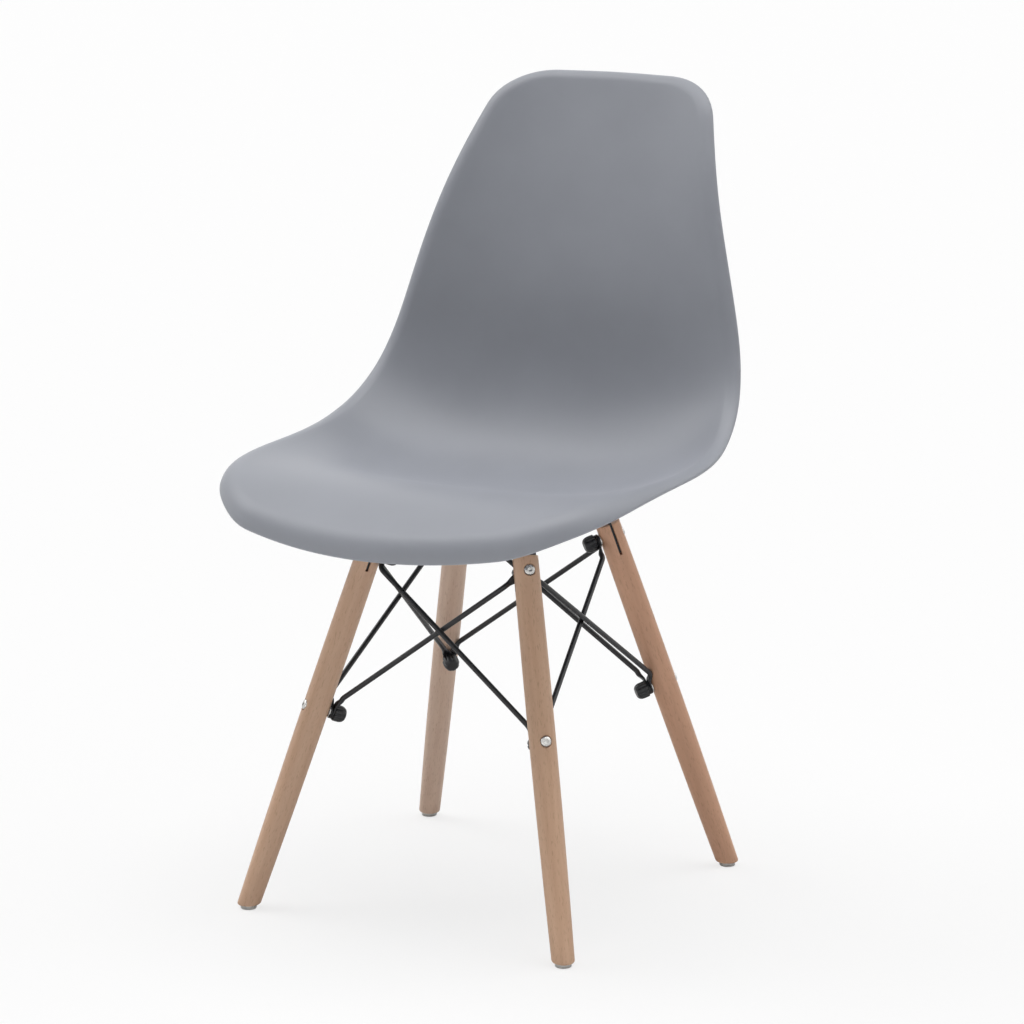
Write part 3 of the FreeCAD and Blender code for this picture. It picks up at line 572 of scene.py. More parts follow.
# %% [markdown]
# Slots and holes are cut as in a workshop: a saw or a drill of the right size is put
# at its place and taken away from the piece. Edges to be bevelled are picked by where
# they lie.

# %% Cutting one piece with another


def cut(piece, cutter):
    apply_modifier(piece, "BOOLEAN", operation="DIFFERENCE", solver="EXACT", object=cutter)
    bpy.data.objects.remove(cutter, do_unlink=True)


def rod_cutter(diameter, start, end, place):
    """A round bar along the frame's own axis, for drilling."""
    deselect()
    bpy.ops.mesh.primitive_cylinder_add(vertices=40, radius=diameter / 2 * MM,
                                        depth=(end - start) * MM,
                                        location=spot(0, 0, (start + end) / 2))
    cutter = bpy.context.object
    settle(cutter)
    move_to(cutter, place)
    return cutter


def select_edges(piece, test):
    """In edit mode: selects the edges whose two ends both pass the test."""
    bpy.ops.mesh.select_mode(type="EDGE")
    bpy.ops.mesh.select_all(action="DESELECT")
    mesh = bmesh.from_edit_mesh(piece.data)
    for edge in mesh.edges:
        if all(test(vertex.co) for vertex in edge.verts):
            edge.select_set(True)
    bmesh.update_edit_mesh(piece.data)


# %% [markdown]
# A leg is turned from beech: thickest a third of the way down, thinner at the foot.
# On the lathe it is a short outline. A saw slot in its top takes the steel tab of
# the frame, two holes cross it for the bolts, each with a shallow recess for the
# head, and the foot is cut level and rounded.

# %% Legs
SLOT_DEPTH = 34
SLOT_WIDE = STRIP_THICK + 0.3
GLIDE_HEIGHT = 4.5


def turned_leg(corner, azimuth):
    stations = [LEG_TOP * i / 24 for i in range(-1, 24)]
    outline = [(0, stations[0])]
    outline += [(leg_radius(along), along) for along in stations]
    outline += [(leg_radius(LEG_TOP), LEG_TOP - 1), (leg_radius(LEG_TOP) - 0.3, LEG_TOP - 0.3),
                (leg_radius(LEG_TOP) - 1, LEG_TOP), (0, LEG_TOP)]
    leg = lathe("turned_leg_" + corner, outline, 64)
    deselect()
    bpy.ops.mesh.primitive_cube_add(size=1, location=(0, 0, 0))
    saw = bpy.context.object
    saw.scale = spot(SLOT_WIDE, 60, SLOT_DEPTH + 20)
    saw.location = spot(0, 0, LEG_TOP - SLOT_DEPTH / 2 + 10)
    settle(saw)
    cut(leg, saw)
    for bolt in (UPPER_BOLT, LOWER_BOLT):
        along_x = Matrix.Translation(spot(0, 0, bolt)) @ Matrix.Rotation(math.pi / 2, 4, "Y")
        cut(leg, rod_cutter(BOLT_HOLE, -40, 40, along_x))
        cut(leg, rod_cutter(RECESS, leg_radius(bolt) - RECESS_DEPTH, 40, along_x))
    move_to(leg, leg_frame(azimuth))
    return leg


def level_foot(leg):
    """Cuts the foot level with the floor, just over the glide, and rounds its rim."""
    pick(leg)
    bpy.ops.object.mode_set(mode="EDIT")
    bpy.ops.mesh.select_mode(type="EDGE")
    bpy.ops.mesh.select_all(action="SELECT")
    bpy.ops.mesh.bisect(plane_co=spot(0, 0, GLIDE_HEIGHT), plane_no=(0, 0, 1),
                        use_fill=True, clear_inner=True)
    select_edges(leg, lambda place: abs(place.z - GLIDE_HEIGHT * MM) < 1e-6)
    bpy.ops.mesh.bevel(offset=2.2 * MM, segments=4, affect="EDGES")
    bpy.ops.object.mode_set(mode="OBJECT")


legs = {}
for corner, azimuth in CORNERS.items():
    legs[corner] = turned_leg(corner, azimuth)
    level_foot(legs[corner])
    smooth(legs[corner], 40)
print("legs", len(legs), "of", len(legs["front_left"].data.polygons), "faces")

# %% [markdown]
# A nylon glide with a pin is pressed into each foot, so that the wood never stands
# on a wet floor.

# %% Glides
glides = {}
glide_reach = FOOT_REACH - GLIDE_HEIGHT * math.tan(math.radians(LEG_TILT))
for corner, azimuth in CORNERS.items():
    glide = lathe("nylon_glide_" + corner, [
        (0, 0), (6.6, 0), (7.6, 0.2), (8.1, 0.7), (8.25, 1.4), (8.25, 4.1), (8, 4.4),
        (7.6, GLIDE_HEIGHT), (2, GLIDE_HEIGHT), (2, 17.5), (1, 18.5), (0, 18.5)])
    move_to(glide, corner_frame(azimuth) @ Matrix.Translation(spot(glide_reach, 0, 0)))
    smooth(glide)
    glides[corner] = glide
print("glides", len(glides))

# %% [markdown]
# The bolts have low button heads with a hexagon socket. The head is turned on the
# lathe, and a six-sided bar sinks the socket. Eight bolts hold the legs from outside
# and four screws hold the seat from below.

# %% Button head screws
KEY = 4


def button_screw(name, shank, head_height):
    head = 5.5
    arc = []
    for i in range(7):
        angle = math.radians(15 + 75 * i / 6)
        arc.append((head * (0.42 + 0.6 * math.cos(angle) ** 0.8),
                    head_height * (0.12 + 0.88 * math.sin(angle))))
    outline = [(0, -shank), (2.4, -shank), (3, 0.6 - shank), (3, 0), (5.2, 0), (head, 0.3)]
    outline += [(min(radius, head), height) for radius, height in arc] + [(0, head_height)]
    screw = lathe(name, outline)
    deselect()
    bpy.ops.mesh.primitive_cylinder_add(vertices=6, radius=KEY / math.sqrt(3) * MM, depth=4 * MM,
                                        location=spot(0, 0, head_height),
                                        rotation=(0, 0, math.radians(15)))
    key = bpy.context.object
    settle(key)
    cut(screw, key)
    apply_modifier(screw, "BEVEL", width=0.15 * MM, segments=2, limit_method="ANGLE",
                   angle_limit=math.radians(50))
    smooth(screw)
    return screw


fasteners = {}
for row, bolt in (("upper", UPPER_BOLT), ("lower", LOWER_BOLT)):
    seat = leg_radius(bolt) - RECESS_DEPTH
    screw = button_screw("bolt", 38, 3.3)
    places = [outward_frame(azimuth, bolt, seat) for azimuth in CORNERS.values()]
    fasteners["leg_bolts_" + row] = copy_to(screw, places, "button_bolts_" + row)
screw = button_screw("screw", 22, 3.5)
upside_down = Matrix.Rotation(math.pi, 4, "X")
places = [place @ upside_down for place in under_seat(STRIP_LEVEL - SEAT_WASHER_THICK)]
fasteners["seat_screws"] = copy_to(screw, places, "button_screws_seat")
print("screws", sum(len(piece.data.polygons) for piece in fasteners.values()), "faces")

# %% [markdown]
# Washers and rubber mounts are rings of one outline with its outer edges broken: a
# washer behind each brace end, one under each seat screw, and a thick rubber ring
# between the frame and each boss, which lets the seat give a little.

# %% Washers and rubber mounts


def ring(name, bore, outer, height, edge):
    outline = [(bore, 0), (outer - edge, 0), (outer - edge * 0.3, edge * 0.3), (outer, edge),
               (outer, height - edge), (outer - edge * 0.3, height - edge * 0.3),
               (outer - edge, height), (bore, height), (bore, 0)]
    piece = lathe(name, outline)
    smooth(piece)
    return piece


for row, bolt in (("upper", UPPER_BOLT), ("lower", LOWER_BOLT)):
    places = [inward_frame(azimuth, bolt, leg_radius(bolt)) for azimuth in CORNERS.values()]
    washer = ring("washer", WASHER_BORE, 6, LEG_WASHER_THICK, 0.2)
    fasteners["leg_washers_" + row] = copy_to(washer, places, "plain_washers_" + row)
washer = ring("washer", WASHER_BORE, 8, SEAT_WASHER_THICK, 0.25)
fasteners["seat_washers"] = copy_to(washer, under_seat(STRIP_LEVEL - SEAT_WASHER_THICK),
                                    "plain_washers_seat")
mount = ring("mount", WASHER_BORE, 13, MOUNT_HEIGHT, 1.2)
rubber = copy_to(mount, under_seat(STRIP_LEVEL + STRIP_THICK), "shock_mounts")
print("rubber mounts", len(rubber.data.polygons), "faces")

# %% [markdown]
# The nuts inside the frame are black nylon caps with eight lobes for the fingers.
# They are built from a circle, extruded upwards ring by ring. Each ring is a circle
# with eight shallow valleys, and the valleys fade out over the dome.

# %% Lobed cap nuts
NUT_RADIUS = 8.5
NUT_SIDE = 6.2
NUT_TALL = 12.5
LOBES = 8


def lobed_ring(radius, height, valley, count=96):
    ring_points = []
    for i in range(count):
        angle = 2 * math.pi * i / count
        dip = max(0, math.cos(LOBES * angle)) ** 1.5
        reach = radius - valley * dip
        ring_points.append(spot(reach * math.cos(angle), reach * math.sin(angle), height))
    return ring_points


def ring_piece(name, rows, close_start=True, close_end=True):
    """A piece made from a circle that is extruded through the given rings."""
    deselect()
    bpy.ops.mesh.primitive_circle_add(vertices=len(rows[0]), radius=MM, fill_type="NOTHING")
    piece = bpy.context.object
    piece.name = name
    for vertex, place in zip(piece.data.vertices, rows[0]):
        vertex.co = place
    bpy.ops.object.mode_set(mode="EDIT")
    bpy.ops.mesh.select_mode(type="EDGE")
    bpy.ops.mesh.select_all(action="SELECT")
    extrude_rows(piece, rows)
    if close_end:
        bpy.ops.mesh.edge_face_add()
    bpy.ops.mesh.select_all(action="DESELECT")
    if close_start:
        bpy.ops.mesh.select_non_manifold()
        bpy.ops.mesh.edge_face_add()
    bpy.ops.mesh.select_all(action="SELECT")
    bpy.ops.mesh.normals_make_consistent(inside=False)
    bpy.ops.object.mode_set(mode="OBJECT")
    return piece


def cap_nut():
    rows = [lobed_ring(6.9, 0, 0.5), lobed_ring(7.6, 0, 1), lobed_ring(8.2, 0.35, 1.2),
            lobed_ring(NUT_RADIUS, 1.1, 1.3), lobed_ring(NUT_RADIUS, 3.5, 1.3),
            lobed_ring(NUT_RADIUS, NUT_SIDE, 1.3)]
    dome_end = math.radians(72)
    dome_tall = (NUT_TALL - NUT_SIDE) / math.sin(dome_end)
    for i in range(1, 9):
        angle = dome_end * i / 8
        rows.append(lobed_ring(4 + 4.5 * math.cos(angle), NUT_SIDE + dome_tall * math.sin(angle),
                               1.3 * (1 - i / 8)))
    rows.append(lobed_ring(3.6, NUT_TALL, 0))
    nut = ring_piece("nut", rows)
    smooth(nut, 60)
    return nut


for row, bolt in (("upper", UPPER_BOLT), ("lower", LOWER_BOLT)):
    seat = leg_radius(bolt) + LEG_WASHER_THICK + 2 * EYE_THICK
    places = [inward_frame(azimuth, bolt, seat) for azimuth in CORNERS.values()]
    fasteners["cap_nuts_" + row] = copy_to(cap_nut(), places, "lobed_nuts_" + row)
print("nuts", len(fasteners["cap_nuts_lower"].data.polygons), "faces")

# %% [markdown]
# Each brace is one steel wire, 5.4 mm thick. Its ends are pressed flat and drilled,
# and it is bent beside each flat. Two braces cross on every side of the chair and
# share their bolts, so each wire lies a little off the middle of its flats: just
# enough to leave 0.4 mm of air at the crossing. The path is found first.

# %% Path of a brace
WIRE = 5.4
EYE_WIDE = 14
EYE_FLAT = 9
EYE_TAPER = 9
BEND = 10
CROSS_GAP = 0.4


class BraceEnd:
    """A flattened end on its bolt, aimed at the brace's other end."""

    def __init__(self, azimuth, along, layer, bow):
        depth = leg_radius(along) + LEG_WASHER_THICK + EYE_THICK * (layer + 0.5)
        place = inward_frame(azimuth, along, depth)
        self.eye = place.translation.copy()
        self.inward = (place.to_3x3() @ Vector((0, 0, 1))).normalized()
        self.bow = bow

    def aim(self, other):
        run = other.eye - self.eye
        self.toward = (run - self.inward * run.dot(self.inward)).normalized()
        self.side = self.inward.cross(self.toward).normalized()
        self.root = self.eye + self.toward * ((EYE_FLAT + EYE_TAPER) * MM)
        self.root += self.inward * (self.bow * MM)
        self.turn = run.angle(self.toward)
        self.knee = self.root + self.toward * (BEND * math.tan(self.turn / 2) * 1.2 * MM)


def brace_ends(start, end, layer, bow):
    first = BraceEnd(start, UPPER_BOLT, layer, bow)
    last = BraceEnd(end, LOWER_BOLT, layer, bow)
    first.aim(last)
    last.aim(first)
    return first, last


def crossing_gap(bow):
    outer_first, outer_last = brace_ends(225, 315, 0, -bow)
    inner_first, inner_last = brace_ends(315, 225, 1, bow)
    across = (outer_last.knee - outer_first.knee).cross(inner_last.knee - inner_first.knee)
    return abs((inner_first.knee - outer_first.knee).dot(across.normalized())) / MM


bow = (WIRE + CROSS_GAP - crossing_gap(0)) / (crossing_gap(1) - crossing_gap(0))
print("the wires lie", round(bow, 2), "mm off the middle of their flats")

# %% [markdown]
# The wire is drawn through rings of 24 points that start wide and flat at the eye,
# turn round at the neck, follow the bend and run straight to the other end. Rings
# let one unbroken skin change from a flat to a round section, as pressing does.

# %% Rings of a brace
RING_POINTS = 24


def flat_ring(centre, side, up, half_wide, half_thick, power):
    points = []
    for i in range(RING_POINTS):
        angle = 2 * math.pi * (i + 0.5) / RING_POINTS
        across = math.copysign(abs(math.cos(angle)) ** (2 / power), math.cos(angle))
        height = math.copysign(abs(math.sin(angle)) ** (2 / power), math.sin(angle))
        points.append(centre + side * (across * half_wide * MM) + up * (height * half_thick * MM))
    return points


def end_rings(end):
    """Rings from the tip of the flattened eye to the bend, and where they end."""
    rings = []
    half = EYE_WIDE / 2
    narrow = WIRE * 0.8
    for step in (-6.95, -6.7, -6, -5, -3.5, -1.75, 0):
        wide = math.sqrt(max(half ** 2 - step ** 2, 0.3))
        rings.append(flat_ring(end.eye + end.toward * (step * MM), end.side, end.inward,
                               wide, EYE_THICK / 2, 5))
    for i in range(1, 5):
        share = i / 4
        place = end.eye + end.toward * (EYE_FLAT * share * MM)
        wide = half + (narrow - half) * share
        rings.append(flat_ring(place, end.side, end.inward, wide, EYE_THICK / 2, 5))
    for i in range(1, 9):
        share = i / 8
        soft = ease(share)
        place = end.eye + end.toward * ((EYE_FLAT + EYE_TAPER * share) * MM)
        place += end.inward * (end.bow * soft * MM)
        rings.append(flat_ring(place, end.side, end.inward, narrow + (WIRE / 2 - narrow) * soft,
                               EYE_THICK / 2 + (WIRE - EYE_THICK) / 2 * soft, 5 - 3 * soft))
    return rings


def bend_rings(end, run):
    """Rings round the bend beside the flat, from the neck into the straight run."""
    rings = []
    turn = end.toward.angle(run)
    tangent = BEND * math.tan(turn / 2) * MM
    start = end.knee - end.toward * tangent
    pull = (run - end.toward * run.dot(end.toward)).normalized()
    centre = start + pull * (BEND * MM)
    for i in range(7):
        angle = turn * i / 6
        heading = end.toward * math.cos(angle) + pull * math.sin(angle)
        place = centre + (end.toward * math.sin(angle) - pull * math.cos(angle)) * (BEND * MM)
        side = (end.side - heading * end.side.dot(heading)).normalized()
        rings.append(flat_ring(place, side, side.cross(heading) * -1, WIRE / 2, WIRE / 2, 2))
    return rings


def brace_wire(name, start, end, layer, bow):
    first, last = brace_ends(start, end, layer, bow)
    run = (last.knee - first.knee).normalized()
    head = end_rings(first) + bend_rings(first, run)
    tail = end_rings(last) + bend_rings(last, -run)
    tail.reverse()
    points = range(RING_POINTS)
    # The tail's rings run the other way; they are turned to where they twist least
    shift = min(points, key=lambda s: sum(
        (head[-1][i] - head[-1][0] - tail[0][(s - i) % RING_POINTS] + tail[0][s]).length
        for i in points))
    tail = [[loop[(shift - i) % RING_POINTS] for i in points] for loop in tail]
    between = []
    low = sum(head[-1], Vector()) / RING_POINTS
    high = sum(tail[0], Vector()) / RING_POINTS
    for k in range(1, 12):
        share = k / 12
        loop = []
        for a, b in zip(head[-1], tail[0]):
            arm = (a - low).lerp(b - high, share)
            loop.append(low.lerp(high, share) + arm.normalized() * (WIRE / 2 * MM))
        between.append(loop)
    return ring_piece(name, head + between + tail)


# %% [markdown]
# Every side of the chair has the same pair of wires: one outer, lying on the washers,
# and one inner, lying on the outer one's eyes. Each is made once on the front side
# and drilled, then copied with a quarter turn to the other sides.

# %% Braces on all four sides
SIDES = ("front", "left", "rear", "right")
braces = {}
for kind, ends, layer, lean in (("outer", (225, 315), 0, -bow), ("inner", (315, 225), 1, bow)):
    wire = brace_wire("wire", *ends, layer, lean)
    for at, along in zip(ends, (UPPER_BOLT, LOWER_BOLT)):
        cut(wire, rod_cutter(BOLT_HOLE, -20, 40, inward_frame(at, along, leg_radius(along))))
    smooth(wire, 50)
    centre = Matrix.Translation(spot(0, BASE_Y, 0))
    for i, side in enumerate(SIDES):
        pick(wire)
        bpy.ops.object.duplicate(linked=False)
        brace = bpy.context.object
        brace.name = f"brace_wire_{side}_{kind}"
        turn = Matrix.Rotation(math.radians(90 * i), 4, "Z")
        move_to(brace, centre @ turn @ centre.inverted())
        braces[f"brace_{side}_{kind}"] = brace
    bpy.data.objects.remove(wire, do_unlink=True)
print("braces", len(braces), "of", len(brace.data.polygons), "faces")

# %% [markdown]
# Two strips of flat steel cross under the seat. Both ends of each are bent down into
# the saw slots of two opposite legs. The lower strip dips under the upper one in the
# middle. A strip is one edge, extruded along its line, thickened and bevelled.

# %% Bridges of flat steel


def strip_line(lowered):
    """Middle line of half a strip, from the centre out to the tip of its tab."""
    tilt = math.radians(LEG_TILT)
    level = STRIP_LEVEL + STRIP_THICK / 2
    tip_along = LEG_TOP - SLOT_DEPTH + 2
    bend = (BEND_REACH, level)
    tip = (FOOT_REACH - tip_along * math.sin(tilt), tip_along * math.cos(tilt))
    radius = 3 + STRIP_THICK / 2
    turn = math.pi / 2 - tilt
    tangent = radius * math.tan(turn / 2)
    points = [(4, level), (18, level), (26, level)]
    if lowered:
        points = [(4, level - STRIP_THICK), (18, level - STRIP_THICK), (26, level)]
    points += [(60, level), (MOUNT_RADIUS, level)]
    for i in range(9):
        angle = turn * i / 8
        points.append((bend[0] - tangent + radius * math.sin(angle),
                       bend[1] - radius + radius * math.cos(angle)))
    points.append(tip)
    return points


def flat_bridge(name, azimuth, lowered):
    half = strip_line(lowered)
    line = [(-x, z) for x, z in reversed(half)] + half
    rows = [[spot(x, -STRIP_WIDE / 2, z), spot(x, STRIP_WIDE / 2, z)] for x, z in line]
    deselect()
    bpy.ops.mesh.primitive_plane_add(size=MM)
    strip = bpy.context.object
    strip.name = name
    first_face = (rows[0][0], rows[1][0], rows[0][1], rows[1][1])
    for vertex, place in zip(strip.data.vertices, first_face):
        vertex.co = place
    bpy.ops.object.mode_set(mode="EDIT")
    ends = {key_of(place) for place in rows[1]}
    select_edges(strip, lambda place: key_of(place) in ends)
    extrude_rows(strip, rows[1:])
    bpy.ops.mesh.select_all(action="SELECT")
    bpy.ops.mesh.normals_make_consistent(inside=False)
    bpy.ops.object.mode_set(mode="OBJECT")
    apply_modifier(strip, "SOLIDIFY", thickness=STRIP_THICK * MM, offset=0, use_even_offset=True)
    apply_modifier(strip, "BEVEL", width=0.35 * MM, segments=2, limit_method="ANGLE",
                   angle_limit=math.radians(60))
    for side in (0, 180):
        turned = Matrix.Rotation(math.radians(side), 4, "Z")
        mount = Matrix.Translation(spot(MOUNT_RADIUS, 0, 0))
        cut(strip, rod_cutter(BOLT_HOLE, 380, 410, turned @ mount))
        bolt = corner_frame(0).inverted() @ outward_frame(0, UPPER_BOLT, 0)
        cut(strip, rod_cutter(BOLT_HOLE, -6, 6, turned @ bolt))
    smooth(strip)
    move_to(strip, corner_frame(azimuth))
    return strip


bridges = {"bridge_upper": flat_bridge("steel_bridge_upper", 225, False),
           "bridge_lower": flat_bridge("steel_bridge_lower", 315, True)}
print("bridges", [len(piece.data.polygons) for piece in bridges.values()], "faces")

# %% [markdown]
# Now the finishes. Colours are written as a painter's chart gives them, in hex, and
# one function turns them into the linear values that Blender mixes light in. Another
# adds a node, sets it and links it.

# %% Colour and node helpers


def linear(code, alpha=1.0):
    values = [int(code[i:i + 2], 16) / 255 for i in (1, 3, 5)]
    values = [value / 12.92 if value <= 0.04045 else ((value + 0.055) / 1.055) ** 2.4
              for value in values]
    return (*values, alpha)


def new_material(name):
    material = bpy.data.materials.new(name)
    material.use_nodes = True
    tree = material.node_tree
    print("finish", name)
    return material, tree, tree.nodes["Principled BSDF"]


def add(tree, kind, settings=None, links=None):
    """A node with its settings; links name its inputs and the sockets that feed them."""
    node = tree.nodes.new("ShaderNode" + kind)
    for name, value in (settings or {}).items():
        if name in node.inputs.keys():
            node.inputs[name].default_value = value
        else:
            setattr(node, name, value)
    for name, socket in (links or {}).items():
        tree.links.new(socket, node.inputs[name])
    return node


# %% [markdown]
# No real surface has one even colour. The finishes below share four steps: a noise
# in the object's own coordinates, sized in millimetres, a ramp between two near
# tones, a gloss that changes a little with the same noise, and a fine relief.

# %% Steps that the finishes share


def noise(tree, place, size, detail=2):
    """Noise whose patches are about so many millimetres across."""
    return add(tree, "TexNoise", {"Scale": 1 / (size * MM), "Detail": detail},
               {"Vector": place}).outputs["Fac"]


def tint(tree, surface, pattern, dark, light):
    """Colours a surface between two near tones."""
    ramp = add(tree, "ValToRGB", None, {"Fac": pattern})
    low, high = ramp.color_ramp.elements
    low.position, low.color = 0.3, linear(dark)
    high.position, high.color = 0.7, linear(light)
    tree.links.new(ramp.outputs["Color"], surface.inputs["Base Color"])
    return ramp.outputs["Color"]


def gloss(tree, surface, pattern, low, high):
    """Lets the roughness waver between two values."""
    spread = add(tree, "MapRange", {"From Min": 0.3, "From Max": 0.7, "To Min": low,
                                    "To Max": high}, {"Value": pattern})
    tree.links.new(spread.outputs["Result"], surface.inputs["Roughness"])


def relief(tree, surface, pattern, depth, strength):
    """Lets the light see a pattern as hills so many millimetres high."""
    bump = add(tree, "Bump", {"Strength": strength, "Distance": depth * MM},
               {"Height": pattern})
    tree.links.new(bump.outputs["Normal"], surface.inputs["Normal"])


def simple_finish(name, size, detail, tones, roughness, depth=0, strength=0):
    """A finish whose tones, gloss and relief all follow one noise."""
    material, tree, surface = new_material(name)
    pattern = noise(tree, add(tree, "TexCoord").outputs["Object"], size, detail)
    tint(tree, surface, pattern, *tones)
    gloss(tree, surface, pattern, *roughness)
    if depth:
        relief(tree, surface, pattern, depth, strength)
    return material, surface


# %% [markdown]
# The shell is polypropylene, coloured right through a cool mid grey and moulded in
# one shot. The steel mould is spark eroded, so the skin has a fine even grain. To
# the eye that gives a broad, silky shine instead of a sharp one, and no texture that
# can be told from a few steps away.

# %% Moulded polypropylene
plastic, tree, surface = new_material("moulded_polypropylene_grey")
place = add(tree, "TexCoord").outputs["Object"]
# The pigment clouds very faintly over about 70 mm
cloud = noise(tree, place, 70, 3)
tint(tree, surface, cloud, "#989ba3", "#9c9fa7")
gloss(tree, surface, cloud, 0.4, 0.48)
# The mould's grain is about 0.2 mm; it is drawn at 1 mm, the least that still shows
relief(tree, surface, noise(tree, place, 1), 0.1, 0.12)
surface.inputs["IOR"].default_value = 1.49

# %% [markdown]
# The legs are steamed beech under a thin matt lacquer. Beech has an even, pinkish
# tan ground, soft bands along the grain and many short brown flecks, the rays of
# the wood cut across. Every leg comes from another board, so each has a tone of its
# own: the two front legs pale, the rear left one redder, the rear right one greyer.

# %% Beech
BEECH_TONES = {"front_right": ("#d2ab8e", "#deb99c"), "front_left": ("#d3ab8d", "#dfb99b"),
               "rear_left": ("#cf9f80", "#dbab8c"), "rear_right": ("#cfb09b", "#dbbfaa")}


def beech(corner, shift):
    """Beech with its grain along one leg, starting at another place in the board."""
    material, tree, surface = new_material("lacquered_beech_" + corner)
    leg = leg_frame(CORNERS[corner])
    place = add(tree, "TexCoord").outputs["Object"]
    board = add(tree, "Mapping", {"vector_type": "TEXTURE",
                                  "Location": leg.translation + spot(*shift),
                                  "Rotation": leg.to_euler()}, {"Vector": place})
    # Bands 6 mm wide and about 100 mm long
    along_board = {"Vector": board.outputs["Vector"]}
    long_grain = add(tree, "Mapping", {"Scale": (1, 1, 0.06)}, along_board)
    bands = noise(tree, long_grain.outputs["Vector"], 6, 4)
    ground = tint(tree, surface, bands, *BEECH_TONES[corner])
    # Flecks 1.2 mm wide and 6 mm long
    short_grain = add(tree, "Mapping", {"Scale": (1, 1, 0.2)}, along_board)
    fleck = noise(tree, short_grain.outputs["Vector"], 1.2, 1)
    amount = add(tree, "MapRange", {"From Min": 0.58, "From Max": 0.72, "To Min": 0,
                                    "To Max": 0.3}, {"Value": fleck})
    flecked = add(tree, "Mix", {"data_type": "RGBA"})
    colour_a, colour_b = [socket for socket in flecked.inputs if socket.type == "RGBA"]
    tree.links.new(amount.outputs["Result"], flecked.inputs["Factor"])
    tree.links.new(ground, colour_a)
    colour_b.default_value = linear("#9c7152")
    mixed = [socket for socket in flecked.outputs if socket.type == "RGBA"][0]
    tree.links.new(mixed, surface.inputs["Base Color"])
    gloss(tree, surface, bands, 0.42, 0.55)
    relief(tree, surface, bands, 0.2, 0.15)
    return material


# %% [markdown]
# The wire braces and the frame are steel under a black powder coat. The powder melts
# to a thick satin skin with a faint orange peel, so a wire shows one soft bright
# line along its length instead of a mirror's thin one.

# %% Black powder coat
# Orange peel about 1.5 mm across
coat, surface = simple_finish("powder_coated_steel_black", 1.5, 2, ("#151518", "#1b1b1e"),
                              (0.32, 0.42), 0.1, 0.1)

# %% [markdown]
# Bolts, screws and washers are zinc plated: a thin bright grey metal skin, a little
# milky, with a shine that wavers where the bath left it thicker.

# %% Zinc plating
# Patches of the plating about 2 mm across
zinc, surface = simple_finish("zinc_plated_steel", 2, 3, ("#bcbbb8", "#cccbc8"), (0.22, 0.36))
surface.inputs["Metallic"].default_value = 1

# %% [markdown]
# The cap nuts are moulded in black nylon. It is a shade warmer and duller than the
# powder coat beside it, with the mould's fine grain in its skin.

# %% Black nylon
# The grain is 0.3 mm in the mould and drawn at 1 mm
nylon, surface = simple_finish("moulded_nylon_black", 1, 2, ("#1a1a1c", "#202022"),
                               (0.36, 0.46), 0.1, 0.1)

# %% [markdown]
# The glides are the same plastic without pigment: milky white, and light sinks into
# it a little before it comes back, so their edges look soft.

# %% Natural nylon
# Haze in patches of about 3 mm
clear_nylon, surface = simple_finish("moulded_nylon_natural", 3, 2, ("#d9dad8", "#e6e7e4"),
                                     (0.35, 0.45))
surface.inputs["Transmission Weight"].default_value = 0.15

# %% [markdown]
# The shock mounts between frame and seat are black rubber: nearly no shine, and a
# little dust that greys it in patches.

# %% Rubber
# Dust in patches of about 8 mm
rubber_black, surface = simple_finish("moulded_rubber_black", 8, 4, ("#19191a", "#232324"),
                                      (0.7, 0.85))

# %% [markdown]
# The threaded inserts are turned from brass bar. They sit deep in the bosses and
# only their rims could ever be seen: warm yellow, bright, with the tool's marks.

# %% Turned brass
# The tool's marks are 0.3 mm apart and drawn at 1.5 mm
brass, surface = simple_finish("turned_brass", 1.5, 3, ("#c09a52", "#cfab64"), (0.25, 0.4))
surface.inputs["Metallic"].default_value = 1

# %% [markdown]
# Each piece gets its finish and its slot, rides on the chair's one body and takes
# the place of the solid that it was built over. The inserts are inside the bosses,
# where the measured solids are good enough, so these stay and only get their brass.

# %% Dress the pieces and let them ride


def put_on(piece, material, node):
    piece.data.materials.clear()
    piece.data.materials.append(material)
    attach(piece, "root")
    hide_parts(node)


put_on(shell, plastic, "seat_shell")
put_on(bosses, plastic, "seat_shell")
for i, corner in enumerate(CORNERS):
    put_on(legs[corner], beech(corner, (31 * i, 17 * i, 530 * i)), "leg_" + corner)
    put_on(glides[corner], clear_nylon, "glide_" + corner)
for node, piece in list(braces.items()) + list(bridges.items()):
    put_on(piece, coat, node)
for node, piece in fasteners.items():
    if node.startswith("cap_nuts"):
        put_on(piece, nylon, node)
    else:
        put_on(piece, zinc, node)
put_on(rubber, rubber_black, "rubber_mounts")
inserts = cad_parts["threaded_inserts"]
inserts.data.materials.clear()
inserts.data.materials.append(brass)
print("dressed", len(bpy.data.materials), "materials")

# %% [markdown]
# The studio floor is a sheet of white paper, wide enough to fill every view. It is
# white by its colour. To the camera alone most of it glows as bright as white paper
# in full light, so that the picture's ground is clean and the chair's shadow on it
# stays as faint as in a catalogue.

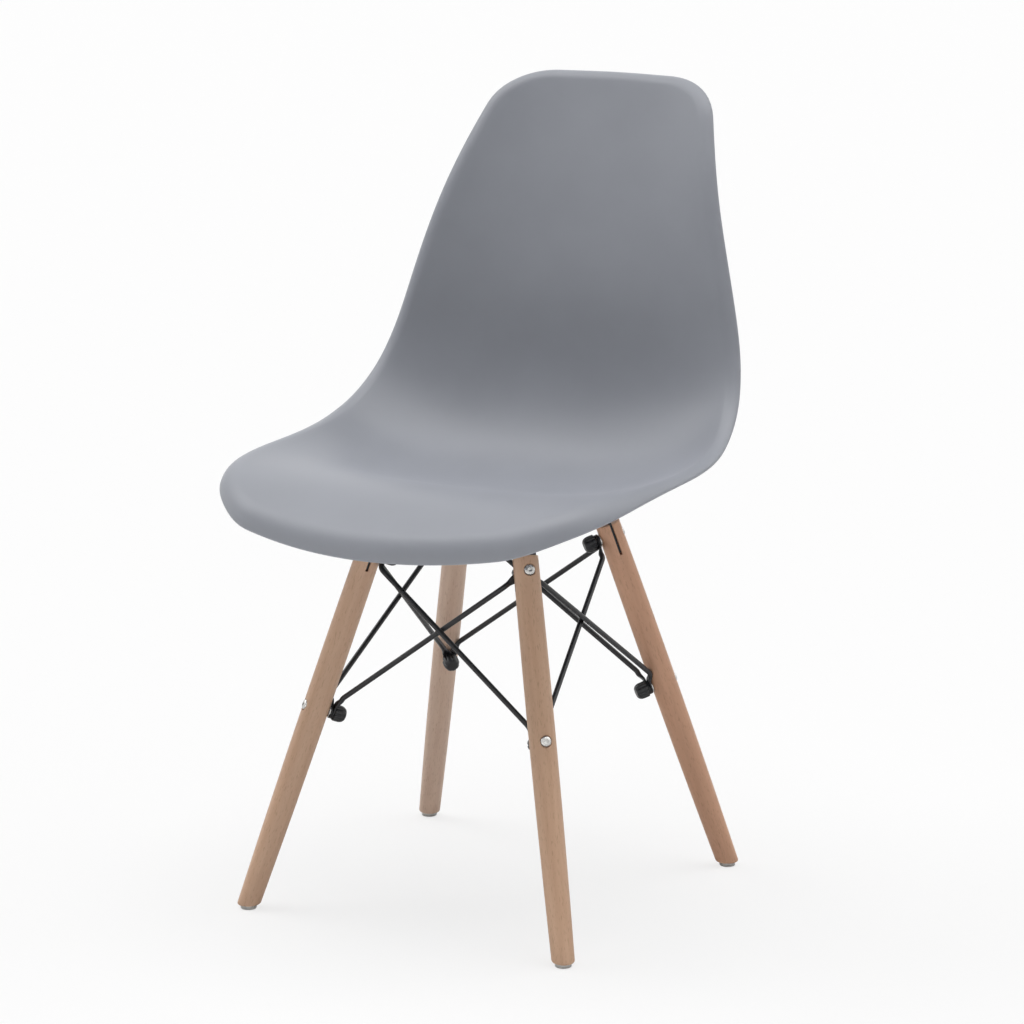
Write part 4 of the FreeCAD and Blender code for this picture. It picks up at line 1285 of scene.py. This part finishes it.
# %% Floor
SHADOW_KEPT = 0.25
deselect()
bpy.ops.mesh.primitive_plane_add(size=60)
floor = bpy.context.object
floor.name = "studio_floor"
paper, tree, surface = new_material("white_paper_sweep")
surface.inputs["Base Color"].default_value = linear("#f8f8f8")
surface.inputs["Roughness"].default_value = 0.9
seen = add(tree, "LightPath").outputs["Is Camera Ray"]
share = add(tree, "MapRange", {"To Max": 1 - SHADOW_KEPT}, {"Value": seen})
white = add(tree, "Emission", {"Strength": 1})
blend = add(tree, "MixShader", None, {"Fac": share.outputs["Result"]})
tree.links.new(surface.outputs["BSDF"], blend.inputs[1])
tree.links.new(white.outputs["Emission"], blend.inputs[2])
tree.links.new(blend.outputs["Shader"], tree.nodes["Material Output"].inputs["Surface"])
floor.data.materials.append(paper)
print("floor", tuple(round(size) for size in floor.dimensions), "m")

# %% [markdown]
# Behind the floor the studio is white to the camera and in reflections, which gives
# the seat its pale sheen towards the back. It throws no light of its own, so the chair
# is lit only by the lamps and by the floor that they light.

# %% Backdrop
world = bpy.data.worlds.new("white_backdrop")
bpy.context.scene.world = world
world.use_nodes = True
tree = world.node_tree
ground = tree.nodes["Background"]
ground.inputs["Color"].default_value = (1, 1, 1, 1)
path = add(tree, "LightPath").outputs
seen = add(tree, "Math", {"operation": "MAXIMUM"}, {0: path["Is Camera Ray"],
                                                   1: path["Is Glossy Ray"]})
tree.links.new(seen.outputs["Value"], ground.inputs["Strength"])
print("backdrop", world.name)

# %% [markdown]
# The lamps are large softboxes far away, so they light chair and floor alike and the
# white floor throws light back up under the seat. The largest hangs overhead and
# leaves the hollow of the back dark; a second stands at the left, weaker ones behind
# and at the right. Their angle says how large they look from the chair. A low strip
# in front of the chair, below the seat's lip, reaches the legs only.

# %% Lights
# Name, direction round the chair, height and apparent size in degrees, and power
SOFTBOXES = (("overhead", 0, 90, 50, 1.7), ("left", 190, 45, 40, 0.95),
             ("right", 0, 45, 40, 0.3), ("right_behind", 45, 45, 40, 0.5),
             ("left_behind", 135, 45, 40, 0.1))


def aim(lamp, toward):
    lamp.rotation_euler = toward.to_track_quat("-Z", "Y").to_euler()


for name, azimuth, height, angle, power in SOFTBOXES:
    bpy.ops.object.light_add(type="SUN", location=(0, 0, 3))
    lamp = bpy.context.object
    lamp.name = name + "_softbox"
    lamp.data.energy = power
    lamp.data.angle = math.radians(angle)
    turn, rise = math.radians(azimuth), math.radians(height)
    aim(lamp, -Vector((math.cos(turn) * math.cos(rise), math.sin(turn) * math.cos(rise),
                       math.sin(rise))))

bpy.ops.object.light_add(type="AREA", location=spot(250, -1150, 60))
strip = bpy.context.object
strip.name = "low_strip"
strip.data.shape = "RECTANGLE"
strip.data.size = 1600 * MM
strip.data.size_y = 100 * MM
strip.data.energy = 1
strip.visible_camera = False
aim(strip, spot(0, 0, 200) - strip.location)
print("lamps", len(SOFTBOXES) + 1)

# %% [markdown]
# The picture is shown without a film look, so that a colour comes out as written.

# %% Colour and last lines
bpy.context.scene.view_settings.view_transform = "Standard"
